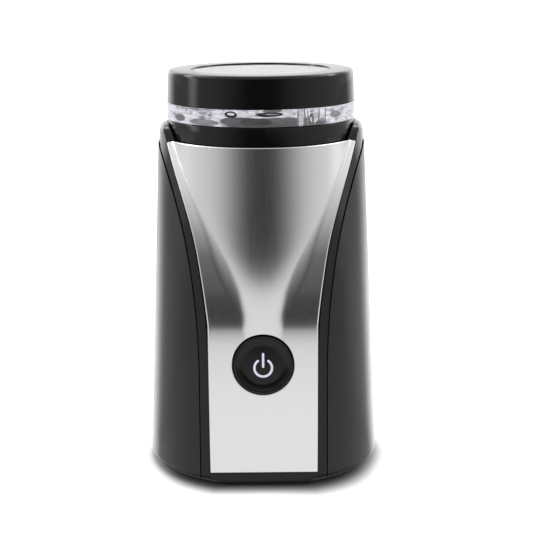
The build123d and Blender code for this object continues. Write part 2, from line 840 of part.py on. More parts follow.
with BuildPart() as rotor_core:
    with BuildSketch(Plane.XY.offset(stack_low_z)):
        Circle(armature_radius)
        Circle(shaft_radius, mode=Mode.SUBTRACT)
        with PolarLocations(armature_radius - slot_deep / 2 + slot_mouth, slot_count):
            Rectangle(slot_deep + 2 * slot_mouth, slot_width, mode=Mode.SUBTRACT)
    extrude(amount=stack_high_z - stack_low_z)
finish(rotor_core, "rotor_core")

with BuildPart() as rotor_windings:
    with BuildSketch(Plane.XY.offset(stack_low_z - winding_end)):
        with PolarLocations(armature_radius - slot_deep / 2 - bundle_sink, slot_count):
            Rectangle(bundle_depth, slot_width - wire_gap)
    extrude(amount=stack_high_z - stack_low_z + 2 * winding_end)
    for end_z in (stack_low_z - winding_end, stack_high_z + winding_gap):
        with BuildSketch(Plane.XY.offset(end_z)):
            Circle(winding_radius)
            Circle(shaft_radius, mode=Mode.SUBTRACT)
        extrude(amount=winding_end - winding_gap)
finish(rotor_windings, "rotor_windings")

with BuildPart() as commutator:
    with BuildSketch(Plane.XY.offset(commutator_low_z)):
        Circle(commutator_radius)
        Circle(shaft_radius, mode=Mode.SUBTRACT)
        with PolarLocations(commutator_radius, 2 * slot_count):
            Rectangle(2 * segment_depth, segment_gap, mode=Mode.SUBTRACT)
    extrude(amount=commutator_height)
finish(commutator, "commutator")

with BuildPart() as cooling_fan:
    with BuildSketch(Plane.XY.offset(fan_z)):
        Circle(fan_radius)
    extrude(amount=fan_disc)
    with BuildSketch(Plane.XY.offset(fan_z)):
        Circle(hub_radius)
        with PolarLocations(0.5 * (hub_radius + fan_radius), fan_blades):
            Rectangle(fan_radius - hub_radius, fan_blade_thickness, rotation=fan_blade_turn)
    extrude(amount=fan_height)
    with BuildSketch(Plane.XY.offset(fan_z)):
        Circle(shaft_radius)
    extrude(amount=fan_height, mode=Mode.SUBTRACT)
finish(cooling_fan, "cooling_fan")

with BuildPart() as blade_hub:
    add(ring(hub_low_z, blade_low_z, shaft_radius, hub_radius))
    hub_rims = blade_hub.edges().filter_by(GeomType.CIRCLE).group_by(Axis.Z)[0]
    chamfer(hub_rims.sort_by(SortBy.RADIUS)[-1], hub_chamfer)
finish(blade_hub, "blade_hub")

wing_root = 16.0
wing_length = 12.5
wing_width = 9.0
wing_tip_width = 5.5
wing_overlap = 0.3  # a wing starts this far inside the flat middle
tip_corner = 2.0  # the tip's corners are cut this far back
tip_narrowing = 0.5
high_wing = 24.0  # degrees that one wing rises
low_wing = -13.0  # and the other falls
with BuildPart() as blade:
    with BuildSketch(Plane.XY.offset(blade_low_z)):
        Rectangle(2 * wing_root, wing_width)
        Circle(hub_radius + blade_eye)
    extrude(amount=blade_thickness)
    for turn, rise in ((0, high_wing), (180, low_wing)):
        heading = radians(turn)
        slope = radians(rise)
        wing_plane = Plane(
            origin=(wing_root * cos(heading), 0, blade_low_z),
            x_dir=(cos(heading) * cos(slope), 0, sin(slope)),
            z_dir=(-cos(heading) * sin(slope), 0, cos(slope)),
        )
        with BuildSketch(wing_plane):
            with BuildLine():
                Polyline(
                    (-wing_overlap, -wing_width / 2),
                    (wing_length - tip_corner, tip_narrowing - wing_width / 2),
                    (wing_length, wing_width / 2 - wing_tip_width),
                    (wing_length, wing_width / 2 - tip_corner / 2),
                    (wing_length - tip_corner, wing_width / 2),
                    (-wing_overlap, wing_width / 2),
                    close=True,
                )
            make_face()
        extrude(amount=blade_thickness)
    with BuildSketch(Plane.XY.offset(blade_low_z)):
        Circle(thread_radius)
    extrude(amount=blade_thickness, mode=Mode.SUBTRACT)
finish(blade, "blade")

with BuildPart() as blade_nut:
    with BuildSketch(Plane.XY.offset(nut_low_z)):
        RegularPolygon(nut_across, 6)
    extrude(amount=nut_height - nut_dome_height)
    with BuildSketch(Plane.XY.offset(nut_low_z)):
        Circle(nut_dome_radius)
    extrude(amount=nut_height)
    chamfer(blade_nut.edges().group_by(Axis.Z)[-1], nut_dome_chamfer)
    with BuildSketch(Plane.XY.offset(nut_low_z)):
        Circle(thread_radius)
    extrude(amount=thread_top_z - nut_low_z, mode=Mode.SUBTRACT)
finish(blade_nut, "blade_nut")

seal_clearance = 0.06
with BuildPart() as shaft_seal:
    with BuildSketch(Plane.XY.offset(shelf_top_z)):
        Circle(bowl_eye_radius)
    extrude(amount=bowl_bottom_z + bowl_wall - shelf_top_z)
    with BuildSketch(Plane.XY.offset(bowl_bottom_z + bowl_wall)):
        Circle(bowl_eye_radius + seal_flange_width)
    extrude(amount=seal_flange)
    with BuildSketch(Plane.XY.offset(shelf_top_z)):
        Circle(shaft_radius + seal_clearance)
    extrude(amount=bowl_bottom_z + bowl_wall + seal_flange - shelf_top_z, mode=Mode.SUBTRACT)
finish(shaft_seal, "shaft_seal")

# ---------------------------------------------------------------- brushes
brush_width = 5.0
brush_height = 6.0
brush_gap = 0.2
brush_clearance = 0.2
brush_length = 9.0
holder_cap = 1.0
holder_start = 12.0
holder_end = 27.0
brush_bore_width = brush_width + brush_clearance
brush_bore_height = brush_height + brush_clearance

with BuildPart() as brush_holders:
    for side in (-1, 1):
        with BuildSketch(Plane.YZ.offset(side * holder_start)):
            with Locations((0, brush_z)):
                Rectangle(holder_width, holder_height)
                Rectangle(brush_bore_width, brush_bore_height, mode=Mode.SUBTRACT)
        extrude(amount=side * (holder_end - holder_start))
        with BuildSketch(Plane.YZ.offset(side * (holder_end - holder_cap))):
            with Locations((0, brush_z)):
                Rectangle(brush_bore_width, brush_bore_height)
        extrude(amount=side * holder_cap)
finish(brush_holders, "brush_holders")

with BuildPart() as carbon_brushes:
    for side in (-1, 1):
        with BuildSketch(Plane.YZ.offset(side * (commutator_radius + brush_gap))):
            with Locations((0, brush_z)):
                Rectangle(brush_width, brush_height)
        extrude(amount=side * brush_length)
finish(carbon_brushes, "carbon_brushes")

# ---------------------------------------------------------------- bottom
foot_radius = 6.0
foot_margin = 16.1  # from a foot's middle to the body's rim
foot_x = base_radius - foot_margin
foot_y = 18.0
foot_recess = 1.6
foot_chamfer = 0.5
boss_margin = 10.7  # from a screw boss's middle to the front face
boss_y = face_foot_y - boss_margin
boss_x = sqrt((base_radius - boss_margin) ** 2 - boss_y**2)
boss_outer = 4.0
boss_web = 6.6  # web from a boss to the wall
web_thickness = 2.2
web_reach = 1.08  # the web's middle lies this many times as far out as the boss
boss_height = 14.0
base_screw_radius = 1.3
base_screw_length = 10.0
base_head_radius = 2.9
base_head_height = 1.4
base_head_sink = 1.8
head_clearance = 0.3
base_screw_hole = 1.6
vent_count = 12
vent_offset = 20.0  # of a vent's middle from the axis
vent_length = 14.0
vent_width = 2.6
feet = [(x, y) for x in (-foot_x, foot_x) for y in (-foot_y, foot_y)]
bosses = [(x, y) for x in (-boss_x, boss_x) for y in (-boss_y, boss_y)]

floor_plate = cavity(floor_z, floor_top_z, floor_top_z, floor_clearance)
with BuildPart() as bottom_cover:
    add(floor_plate)
    with BuildSketch(Plane.XY.offset(floor_z)):
        with Locations(*feet):
            Circle(foot_radius)
    extrude(amount=foot_recess, mode=Mode.SUBTRACT)
    with BuildSketch(Plane.XY.offset(floor_z)):
        with Locations(*bosses):
            Circle(base_head_radius + head_clearance)
    extrude(amount=base_head_sink, mode=Mode.SUBTRACT)
    with BuildSketch(Plane.XY.offset(floor_z)):
        with Locations(*bosses):
            Circle(base_screw_hole)
        with PolarLocations(vent_offset, vent_count):
            SlotOverall(vent_length, vent_width)
    extrude(amount=floor_thickness, mode=Mode.SUBTRACT)
finish(bottom_cover, "bottom_cover")

with BuildPart() as rubber_feet:
    with BuildSketch():
        with Locations(*feet):
            Circle(foot_radius)
    extrude(amount=floor_z + foot_recess)
    chamfer(rubber_feet.edges().group_by(Axis.Z)[0], foot_chamfer)
finish(rubber_feet, "rubber_feet")

with BuildPart() as base_screws:
    with BuildSketch(Plane.XY.offset(floor_z + base_head_sink - base_head_height)):
        with Locations(*bosses):
            Circle(base_head_radius)
    extrude(amount=base_head_height)
    with BuildSketch(Plane.XY.offset(floor_z + base_head_sink)):
        with Locations(*bosses):
            Circle(base_screw_radius)
    extrude(amount=base_screw_length)
finish(base_screws, "base_screws")

# ---------------------------------------------------------------- cord gland
gland_z = 18.0
gland_bore = 3.2
gland_radius = 5.0
gland_flange_radius = 6.6
gland_flange = 1.6
gland_length = 9.0
gland_chamfer = 0.7
gland_plane = Plane(
    origin=(0, face_depth(gland_z), gland_z),
    x_dir=(-1, 0, 0),
    z_dir=(0, cos(radians(face_lean)), sin(radians(face_lean))),
)

with BuildPart() as cord_gland:
    with BuildSketch(gland_plane.offset(-gland_length)):
        Circle(gland_radius)
    extrude(amount=gland_length)
    with BuildSketch(gland_plane):
        Circle(gland_flange_radius)
    extrude(amount=gland_flange)
    chamfer(cord_gland.edges().sort_by(Axis.Y)[-1], gland_chamfer)
    with BuildSketch(gland_plane.offset(-gland_length)):
        Circle(gland_bore)
    extrude(amount=gland_length + gland_flange, mode=Mode.SUBTRACT)
finish(cord_gland, "cord_gland")

# ---------------------------------------------------------------- panel
outer_form = body_form(cover_proud, 0.0)
backing_form = body_form(cover_proud, panel_thickness)

with BuildPart() as panel_blank:
    add(outer_form)
    add(backing_form, mode=Mode.SUBTRACT)
    with BuildSketch(Plane.XY.offset(panel_foot_z)):
        with Locations((0, -base_radius)):
            Rectangle(4 * base_radius, 2 * base_radius)
    extrude(amount=seat_z - panel_foot_z, mode=Mode.INTERSECT)
panel_sheet = panel_blank.part

with BuildPart() as front_panel:
    add(panel_sheet)
    with BuildSketch(button_plane.offset(-2 * panel_thickness)):
        Circle(sleeve_radius + panel_hole_gap)
    extrude(amount=4 * panel_thickness, mode=Mode.SUBTRACT)
finish(front_panel, "front_panel")

# ---------------------------------------------------------------- covers
lug_width = 8.0
lug_height = 2.4
lug_reach = 4.6  # how far a lug reaches in from the cover's outside
lug_root = 1.0  # a lug starts this far inside the cover's outside
lug_clearance = 0.15
lug_low_z = 20.0
lug_pitch = 50.0
lug_rows = 3


def lugs(clearance):
    """The clips on a side cover's back, or the slots they enter."""
    with BuildPart() as made:
        for row in range(lug_rows):
            z = lug_low_z + row * lug_pitch
            for side in (-1, 1):
                outer_x = side_radius(z) - lug_root
                inner_x = side_radius(z) - lug_reach - clearance
                with BuildSketch(Plane.XY.offset(z - lug_height / 2 - clearance)):
                    with Locations((side * 0.5 * (outer_x + inner_x), 0)):
                        Rectangle(outer_x - inner_x, lug_width + 2 * clearance)
                extrude(amount=lug_height + 2 * clearance)
    return made.part


cover_outside = cone(0.0, base_z, ear_top_z, foot_round, ear_round)
cover_inside = cone(cover_wall, base_z - 1, ear_top_z)
clips = lugs(0.0)
for cover_name, cover_side in (("right_side_cover", 1), ("left_side_cover", -1)):
    beyond = cover_region(0.0, cover_side)
    with BuildPart() as cover:
        add(cover_outside)
        add(cover_inside, mode=Mode.SUBTRACT)
        add(clips)
        add(beyond, mode=Mode.INTERSECT)
    finish(cover, cover_name)

# ---------------------------------------------------------------- housing
pocket_core = cone(cover_wall + cover_gap, base_z - 2, ear_top_z)
right_beyond = cover_region(seam_gap, 1)
left_beyond = cover_region(seam_gap, -1)
with BuildPart() as cover_pockets:
    add(right_beyond)
    add(left_beyond)
    add(pocket_core, mode=Mode.SUBTRACT)

cone_roof = 3.0  # the cavity's cone ends this far under the collar's seat
cone_top_z = seat_z - cone_roof
lower_cavity = cavity(base_z - 1, shelf_z, cone_top_z)
upper_cavity = cavity(shelf_top_z, seat_z + 1, cone_top_z)
clip_slots = lugs(lug_clearance)

with BuildPart() as housing:
    add(outer_form)
    with BuildSketch(Plane.XY.offset(seat_z)):
        Circle(collar_radius + ear_gap)
    extrude(amount=collar_height + 1, mode=Mode.SUBTRACT)
    add(panel_sheet, mode=Mode.SUBTRACT)
    add(cover_pockets.part, mode=Mode.SUBTRACT)
    add(lower_cavity, mode=Mode.SUBTRACT)
    add(upper_cavity, mode=Mode.SUBTRACT)
    with BuildSketch(Plane.XY.offset(floor_top_z)):
        with Locations(*bosses):
            Circle(boss_outer)
        for x, y in bosses:
            with Locations(Location((web_reach * x, web_reach * y), degrees(atan2(y, x)))):
                Rectangle(boss_web, web_thickness)
    extrude(amount=boss_height)
    with BuildSketch(Plane.XY.offset(floor_top_z)):
        with Locations(*bosses):
            Circle(base_screw_radius)
    extrude(amount=base_screw_length, mode=Mode.SUBTRACT)
    with BuildSketch(Plane.XY.offset(shelf_z)):
        Circle(bowl_eye_radius + seal_flange_width)
        with PolarLocations(bowl_stud_offset, bowl_stud_count):
            Circle(screw_radius)
        with PolarLocations(mount_offset, mount_count):
            Circle(screw_radius)
    extrude(amount=shelf_thickness, mode=Mode.SUBTRACT)
    add(clip_slots, mode=Mode.SUBTRACT)
    with BuildSketch(button_plane.offset(-sleeve_depth - sleeve_back)):
        Circle(sleeve_radius + sleeve_wall)
    extrude(amount=sleeve_depth + sleeve_back + 2, mode=Mode.SUBTRACT)
    with BuildSketch(gland_plane.offset(-gland_length)):
        Circle(gland_radius)
    extrude(amount=gland_length + 2, mode=Mode.SUBTRACT)
finish(housing, "housing")
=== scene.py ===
# %% [markdown]
# # An upright electric spice grinder
#
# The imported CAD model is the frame: it holds every piece at its real size. This file gives the
# pieces their finish. The shells that the eye meets are copied from the frame, welded and shaded
# smooth. The steel front is laid out again on a finer grid, because it has to mirror a room.

import json
from math import atan2, cos, pi, radians, sin, sqrt, tan

import bmesh
import bpy
from mathutils import Matrix, Vector


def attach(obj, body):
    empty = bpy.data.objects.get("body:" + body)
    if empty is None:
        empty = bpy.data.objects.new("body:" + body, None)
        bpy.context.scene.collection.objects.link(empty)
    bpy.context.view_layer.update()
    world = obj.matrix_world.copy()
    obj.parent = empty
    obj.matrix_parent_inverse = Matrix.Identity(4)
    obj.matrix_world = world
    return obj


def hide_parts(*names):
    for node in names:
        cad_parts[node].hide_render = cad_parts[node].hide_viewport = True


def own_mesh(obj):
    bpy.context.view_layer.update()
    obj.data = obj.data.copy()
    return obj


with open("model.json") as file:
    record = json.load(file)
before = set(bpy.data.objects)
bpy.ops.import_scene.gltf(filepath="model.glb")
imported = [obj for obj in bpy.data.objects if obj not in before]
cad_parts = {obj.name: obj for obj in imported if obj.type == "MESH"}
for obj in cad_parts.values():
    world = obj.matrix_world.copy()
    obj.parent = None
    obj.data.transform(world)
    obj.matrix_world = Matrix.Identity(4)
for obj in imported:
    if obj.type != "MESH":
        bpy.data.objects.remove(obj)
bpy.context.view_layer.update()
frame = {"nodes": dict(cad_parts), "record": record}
nodes = frame["nodes"]
MM = 0.001

# %% [markdown]
# ## The camera
#
# It stands a little above the lid, about 62 cm in front of the grinder, and looks slightly down, so
# that the lid's window shows as a flat ellipse. A long lens keeps the sides nearly parallel. The
# small roll and shift are those of a hand-placed camera.

# %% Camera
CAMERA_DISTANCE = 0.622
CAMERA_HEIGHT = 0.229
CAMERA_PITCH = radians(12.75)
CAMERA_ROLL = radians(0.5)
FRAME_PIXELS = 533
FOCAL_PIXELS = 1400
AXIS_OFFSET_PIXELS = 4.2
SENSOR_WIDTH = 36.0
NEAR_CLIP = 0.01

camera_data = bpy.data.cameras.new("camera")
camera_data.sensor_width = SENSOR_WIDTH
camera_data.lens = SENSOR_WIDTH * FOCAL_PIXELS / FRAME_PIXELS
camera_data.shift_x = AXIS_OFFSET_PIXELS / FRAME_PIXELS
camera_data.clip_start = NEAR_CLIP
camera = bpy.data.objects.new("camera", camera_data)
tilt = Matrix.Rotation(pi / 2 - CAMERA_PITCH, 4, "X")
roll = Matrix.Rotation(-CAMERA_ROLL, 4, "Z")
camera.matrix_world = Matrix.Translation((0, -CAMERA_DISTANCE, CAMERA_HEIGHT)) @ tilt @ roll
bpy.context.scene.collection.objects.link(camera)
bpy.context.scene.camera = camera
print("lens in mm:", round(camera_data.lens, 1))

# %% [markdown]
# ## Node helpers
#
# A material is a small network. These helpers keep each network short enough to read: one adds a
# node and sets its sockets, two do sums, one makes a smooth step out of a Map Range, and two choose
# between values or shaders.


# %% Node helpers
def add_node(tree, kind, **settings):
    """A new node; settings name its properties, or its input sockets where there is no property."""
    node = tree.nodes.new(kind)
    for key, value in settings.items():
        if hasattr(node, key):
            setattr(node, key, value)
        else:
            node.inputs[key.replace("_", " ")].default_value = value
    return node


def math_node(tree, operation, first, second=None):
    """A Math node on sockets or numbers; returns its output."""
    node = tree.nodes.new("ShaderNodeMath")
    node.operation = operation
    for place, value in enumerate((first, second)):
        if value is None:
            continue
        if isinstance(value, (int, float)):
            node.inputs[place].default_value = value
        else:
            tree.links.new(value, node.inputs[place])
    return node.outputs[0]


def product(tree, first, *others):
    """The product of sockets and numbers."""
    for value in others:
        first = math_node(tree, "MULTIPLY", first, value)
    return first


def smooth_step(tree, value, low, high, to_low=0.0, to_high=1.0):
    """The output runs smoothly from to_low to to_high while value runs from low to high."""
    node = tree.nodes.new("ShaderNodeMapRange")
    node.interpolation_type = "SMOOTHSTEP"
    limits = {"From Min": low, "From Max": high, "To Min": to_low, "To Max": to_high}
    for name, number in limits.items():
        node.inputs[name].default_value = number
    tree.links.new(value, node.inputs["Value"])
    return node.outputs["Result"]


def choose(tree, factor, yes, no):
    """A value that is yes where factor is 1 and no where it is 0."""
    node = add_node(tree, "ShaderNodeMix", data_type="FLOAT")
    tree.links.new(factor, node.inputs["Factor"])
    for name, value in (("A", no), ("B", yes)):
        if isinstance(value, (int, float)):
            node.inputs[name].default_value = value
        else:
            tree.links.new(value, node.inputs[name])
    return node.outputs["Result"]


def choose_shader(tree, factor, yes, no):
    """A shader that is yes where factor is 1 and no where it is 0."""
    node = add_node(tree, "ShaderNodeMixShader")
    tree.links.new(factor, node.inputs["Fac"])
    tree.links.new(no, node.inputs[1])
    tree.links.new(yes, node.inputs[2])
    return node.outputs[0]


# %% [markdown]
# ## The studio
#
# The grinder stands in a white sweep. What makes steel and gloss plastic readable is what they
# mirror: white paper near the foot, a dark room round the camera, pale walls at the sides, and a
# backdrop whose wings are brighter than its middle. A tall soft screen leans back on the left, and
# its top part stands on the right too: it lays a soft streak down the lid, collar and covers. The
# camera sees a plain white world, and soft light comes from a white sky that is brighter overhead.
# Only mirrored rays see the room, so that the metal gets its dark core without any light being
# taken off the object.

# %% World
# Every pair of edges is read on a unit direction: X is right, Y is behind and Z is up.
ROOM_EDGES = (0.15, 1.05)  # between these, sideways, the dark room lightens to the walls
ROOM_TOPS = (0.0, 0.8)  # between these, upward, it lightens to the ceiling
BACK_EDGES = (0.5, 0.92)  # between these, backward, the white backdrop begins
WING_EDGES = (0.15, 0.35)  # between these, sideways, the backdrop brightens to its wings
ROOM_DARK = 0.03
WALL_BRIGHT = 0.66
CEILING_BRIGHT = 0.78
BACK_BRIGHT = 1.1
WING_BRIGHT = 1.8
SCREEN_PLACE = 0.02  # depth of the tall soft screen
SCREEN_LEAN = 0.7  # it leans back with height
SCREEN_HALF = 0.22
SCREEN_BRIGHT = 1.6
SCREEN_RIGHT = (0.2, 0.5)  # above these heights it stands on the right too
SCREEN_RISE = (-0.1, 0.35)  # between these heights it brightens
SCREEN_GAIN = 3.0  # by this much
SKY_EDGES = (-0.1, 0.9)
SKY_LOW = 0.55
SKY_HIGH = 1.25
CAMERA_WHITE = 1.05

world = bpy.data.worlds.new("studio")
bpy.context.scene.world = world
world.use_nodes = True
sky = world.node_tree
sky.nodes.clear()


def room_tone(tree, direction):
    """What a mirror sees toward a level direction: a dark room, its walls and the backdrop."""
    axes = add_node(tree, "ShaderNodeSeparateXYZ")
    tree.links.new(direction, axes.inputs[0])
    sideways = math_node(tree, "ABSOLUTE", axes.outputs["X"])
    walls = smooth_step(tree, sideways, *ROOM_EDGES, ROOM_DARK, WALL_BRIGHT)
    edge = smooth_step(tree, axes.outputs["Y"], *BACK_EDGES)
    wings = smooth_step(tree, sideways, *WING_EDGES, BACK_BRIGHT, WING_BRIGHT)
    return math_node(tree, "MAXIMUM", walls, product(tree, edge, wings))


def screen_tone(tree, direction):
    """What a mirror sees of the soft screen: all of it on the left, its top on the right."""
    axes = add_node(tree, "ShaderNodeSeparateXYZ")
    tree.links.new(direction, axes.inputs[0])
    rise = math_node(tree, "MAXIMUM", axes.outputs["Z"], 0.0)
    depth = math_node(tree, "SUBTRACT", axes.outputs["Y"], product(tree, rise, SCREEN_LEAN))
    beside = math_node(tree, "ABSOLUTE", math_node(tree, "SUBTRACT", depth, SCREEN_PLACE))
    screen = smooth_step(tree, beside, 0.0, SCREEN_HALF, SCREEN_BRIGHT, 0.0)
    left = math_node(tree, "LESS_THAN", axes.outputs["X"], 0.0)
    high = smooth_step(tree, axes.outputs["Z"], *SCREEN_RIGHT)
    return product(tree, screen, math_node(tree, "MAXIMUM", left, high))


where = add_node(sky, "ShaderNodeTexCoord")
axes = add_node(sky, "ShaderNodeSeparateXYZ")
sky.links.new(where.outputs["Generated"], axes.inputs[0])
ceiling = smooth_step(sky, axes.outputs["Z"], *ROOM_TOPS, 0.0, CEILING_BRIGHT)
screen_rise = smooth_step(sky, axes.outputs["Z"], *SCREEN_RISE, 1.0, SCREEN_GAIN)
screen = product(sky, screen_tone(sky, where.outputs["Generated"]), screen_rise)
mirrored = math_node(sky, "ADD", room_tone(sky, where.outputs["Generated"]), ceiling)
mirrored = math_node(sky, "ADD", mirrored, screen)
overhead = smooth_step(sky, axes.outputs["Z"], *SKY_EDGES, SKY_LOW, SKY_HIGH)
light_path = add_node(sky, "ShaderNodeLightPath")
is_glossy = light_path.outputs["Is Glossy Ray"]
is_camera = light_path.outputs["Is Camera Ray"]
strength = choose(sky, is_camera, CAMERA_WHITE, choose(sky, is_glossy, mirrored, overhead))
background = add_node(sky, "ShaderNodeBackground", Color=(1, 1, 1, 1))
sky.links.new(strength, background.inputs["Strength"])
world_out = add_node(sky, "ShaderNodeOutputWorld")
sky.links.new(background.outputs[0], world_out.inputs["Surface"])
print("the room mirrors", ROOM_DARK, "in front,", WALL_BRIGHT, "aside and", BACK_BRIGHT, "behind")

# %% [markdown]
# ## The contact shadow
#
# The floor is white paper, exposed so that only the contact shadow keeps a tone. Under a soft sky
# that shadow is thin: a line beside the foot and a wider, darker band in front. It could be left to
# the lamps, but drawn in the paper it stays the same under any light. Its shape follows the foot's
# outline, a circle cut straight in front.

# %% Contact shadow
BASE_RADIUS = 0.0503
BASE_FRONT = 0.0458
SHADOW_BESIDE = 0.004  # width of the shadow beside the foot
SHADOW_BEFORE = 0.014  # and in front of it
RIGHT_EDGES = (0.0, 0.9)  # between these, toward the right, it widens
RIGHT_GAIN = 1.6  # by this much
TURN_EDGES = (0.15, 0.75)  # between these, toward the front, it deepens
SIDE_DARK = 0.5  # the paper's tone at the foot, beside it
CONTACT_DARK = 0.12  # and in front of it


def contact_shadow(tree, place):
    """The paper's tone round the foot: dark at its outline and 1 outside the shadow."""
    flat = add_node(tree, "ShaderNodeSeparateXYZ")
    tree.links.new(place, flat.inputs[0])
    reach = add_node(tree, "ShaderNodeVectorMath", operation="LENGTH")
    tree.links.new(place, reach.inputs[0])
    outside = math_node(tree, "SUBTRACT", reach.outputs["Value"], BASE_RADIUS)
    forward = math_node(tree, "MULTIPLY", flat.outputs["Y"], -1.0)
    before = math_node(tree, "SUBTRACT", forward, BASE_FRONT)
    gap = math_node(tree, "MAXIMUM", outside, before)
    ahead = math_node(tree, "MAXIMUM", forward, 0.0)
    turn = math_node(tree, "DIVIDE", ahead, reach.outputs["Value"])
    turned = product(tree, turn, turn)
    width = smooth_step(tree, turned, 0.0, 1.0, SHADOW_BESIDE, SHADOW_BEFORE)
    rightward = math_node(tree, "DIVIDE", flat.outputs["X"], reach.outputs["Value"])
    width = product(tree, width, smooth_step(tree, rightward, *RIGHT_EDGES, 1.0, RIGHT_GAIN))
    light = smooth_step(tree, math_node(tree, "DIVIDE", gap, width), 0.0, 1.0)
    dark = smooth_step(tree, turn, *TURN_EDGES, SIDE_DARK, CONTACT_DARK)
    lightened = product(tree, light, math_node(tree, "SUBTRACT", 1.0, dark))
    return math_node(tree, "ADD", dark, lightened)


print("shadow in mm:", SHADOW_BESIDE / MM, "beside the foot,", SHADOW_BEFORE / MM, "in front")

# %% [markdown]
# ## The paper
#
# The camera sees the paper nearly white. In the metal the paper ends about 40 cm in front of the
# grinder and runs out into the dark room. Behind the grinder it carries the room's tone down to the
# foot, so that each mirror image joins the walls without a line. There it glows a little near the
# grinder and dims a metre away, as a lit sweep does.

# %% Paper
FLOOR_HALF = 3.0
PAPER_END = -0.425  # mirrored paper fades to the dark room around this depth
PAPER_FADE = 0.02
FRONT_EDGES = (-0.4, -0.15)  # between these depths it brightens toward the grinder
PAPER_FAR = 0.9  # from this share
SIDE_EDGES = (0.15, 0.5)  # between these, sideways, it dims
PAPER_NEAR = 0.82
PAPER_SIDE = 0.66
FOOT_HALF = 0.048  # the room's directions start at the grinder's sides, a little in front
FOOT_FRONT = 0.017
LEFT_GLOW = 1.3  # how much brighter the paper is close behind the grinder
RIGHT_GLOW = 1.55
GLOW_STARTS = (-0.03, 0.05)  # depths between which the glow begins
GLOW_FADES = (0.15, 0.6)  # and ends
FAR_EDGES = (0.6, 1.1)  # depths between which the paper dims
FAR_DIM = 0.75
PAPER_WHITE = 0.97
PAPER_EXPOSURE = 1.3
MIRRORED_DARK = 0.3  # the foot's own mirror image meets a paler shadow


def paper_in_front(tree, split, beside):
    """How bright the mirrored paper is in front of the grinder, up to its end."""
    depth = split.outputs["Y"]
    begun = smooth_step(tree, depth, PAPER_END - PAPER_FADE, PAPER_END + PAPER_FADE)
    nearer = smooth_step(tree, depth, *FRONT_EDGES, PAPER_FAR, 1.0)
    tone = smooth_step(tree, beside, *SIDE_EDGES, PAPER_NEAR, PAPER_SIDE)
    return product(tree, begun, nearer, tone, math_node(tree, "LESS_THAN", depth, 0.0))


def paper_behind(tree, split, beside):
    """The room's tone on the paper, as a mirror sees it toward each level direction."""
    depth = split.outputs["Y"]
    outward = add_node(tree, "ShaderNodeCombineXYZ")
    aside = math_node(tree, "SUBTRACT", beside, FOOT_HALF)
    tree.links.new(math_node(tree, "MAXIMUM", aside, 0.0), outward.inputs["X"])
    tree.links.new(math_node(tree, "ADD", depth, FOOT_FRONT), outward.inputs["Y"])
    toward = add_node(tree, "ShaderNodeVectorMath", operation="NORMALIZE")
    tree.links.new(outward.outputs[0], toward.inputs[0])
    glows = (LEFT_GLOW - 1.0, RIGHT_GLOW - 1.0)
    side_glow = smooth_step(tree, split.outputs["X"], -FOOT_HALF, FOOT_HALF, *glows)
    fading = smooth_step(tree, depth, *GLOW_FADES, 1.0, 0.0)
    near_glow = product(tree, side_glow, fading, smooth_step(tree, depth, *GLOW_STARTS))
    far_tone = smooth_step(tree, depth, *FAR_EDGES, 1.0, FAR_DIM)
    room = room_tone(tree, toward.outputs["Vector"])
    return product(tree, room, math_node(tree, "ADD", near_glow, far_tone))


def paper():
    """White paper; mirrored rays see it bright near the grinder and dark beyond its end."""
    made = bpy.data.materials.new("paper")
    made.use_nodes = True
    tree = made.node_tree
    tree.nodes.clear()
    place = add_node(tree, "ShaderNodeTexCoord")
    split = add_node(tree, "ShaderNodeSeparateXYZ")
    tree.links.new(place.outputs["Object"], split.inputs[0])
    beside = math_node(tree, "ABSOLUTE", split.outputs["X"])
    in_front = paper_in_front(tree, split, beside)
    level = math_node(tree, "MAXIMUM", in_front, paper_behind(tree, split, beside))
    shade = contact_shadow(tree, place.outputs["Object"])
    paler = math_node(tree, "MAXIMUM", shade, MIRRORED_DARK)
    glow = add_node(tree, "ShaderNodeEmission", Color=(1, 1, 1, 1))
    tree.links.new(product(tree, level, paler), glow.inputs["Strength"])
    white = add_node(tree, "ShaderNodeBsdfDiffuse", Color=(*[PAPER_WHITE] * 3, 1))
    exposed = add_node(tree, "ShaderNodeBsdfDiffuse")
    tree.links.new(product(tree, shade, PAPER_EXPOSURE), exposed.inputs["Color"])
    rays = add_node(tree, "ShaderNodeLightPath")
    is_mirrored = rays.outputs["Is Glossy Ray"]
    is_seen = rays.outputs["Is Camera Ray"]
    unseen = choose_shader(tree, is_mirrored, glow.outputs[0], white.outputs[0])
    surface = choose_shader(tree, is_seen, exposed.outputs[0], unseen)
    out = add_node(tree, "ShaderNodeOutputMaterial")
    tree.links.new(surface, out.inputs["Surface"])
    return made


floor_mesh = bpy.data.meshes.new("floor")
sheet = bmesh.new()
bmesh.ops.create_grid(sheet, x_segments=1, y_segments=1, size=FLOOR_HALF)
sheet.to_mesh(floor_mesh)
sheet.free()
floor = bpy.data.objects.new("floor", floor_mesh)
floor_mesh.materials.append(paper())
bpy.context.scene.collection.objects.link(floor)
print("the paper is", 2 * FLOOR_HALF, "m square")

# %% [markdown]
# ## Soft boxes
#
# Two weak soft boxes stand high at the sides. The world already lights the grinder evenly, and
# they only lift the lid's top and shoulders, equally from both sides.

# %% Soft boxes
BOX_ASIDE = 0.9
BOX_BEHIND = 0.1
BOX_UP = 1.0
BOX_TARGET = (0, 0, 0.1)
BOX_WIDTH = 0.3
BOX_LENGTH = 0.6
BOX_WATTS = 1.6


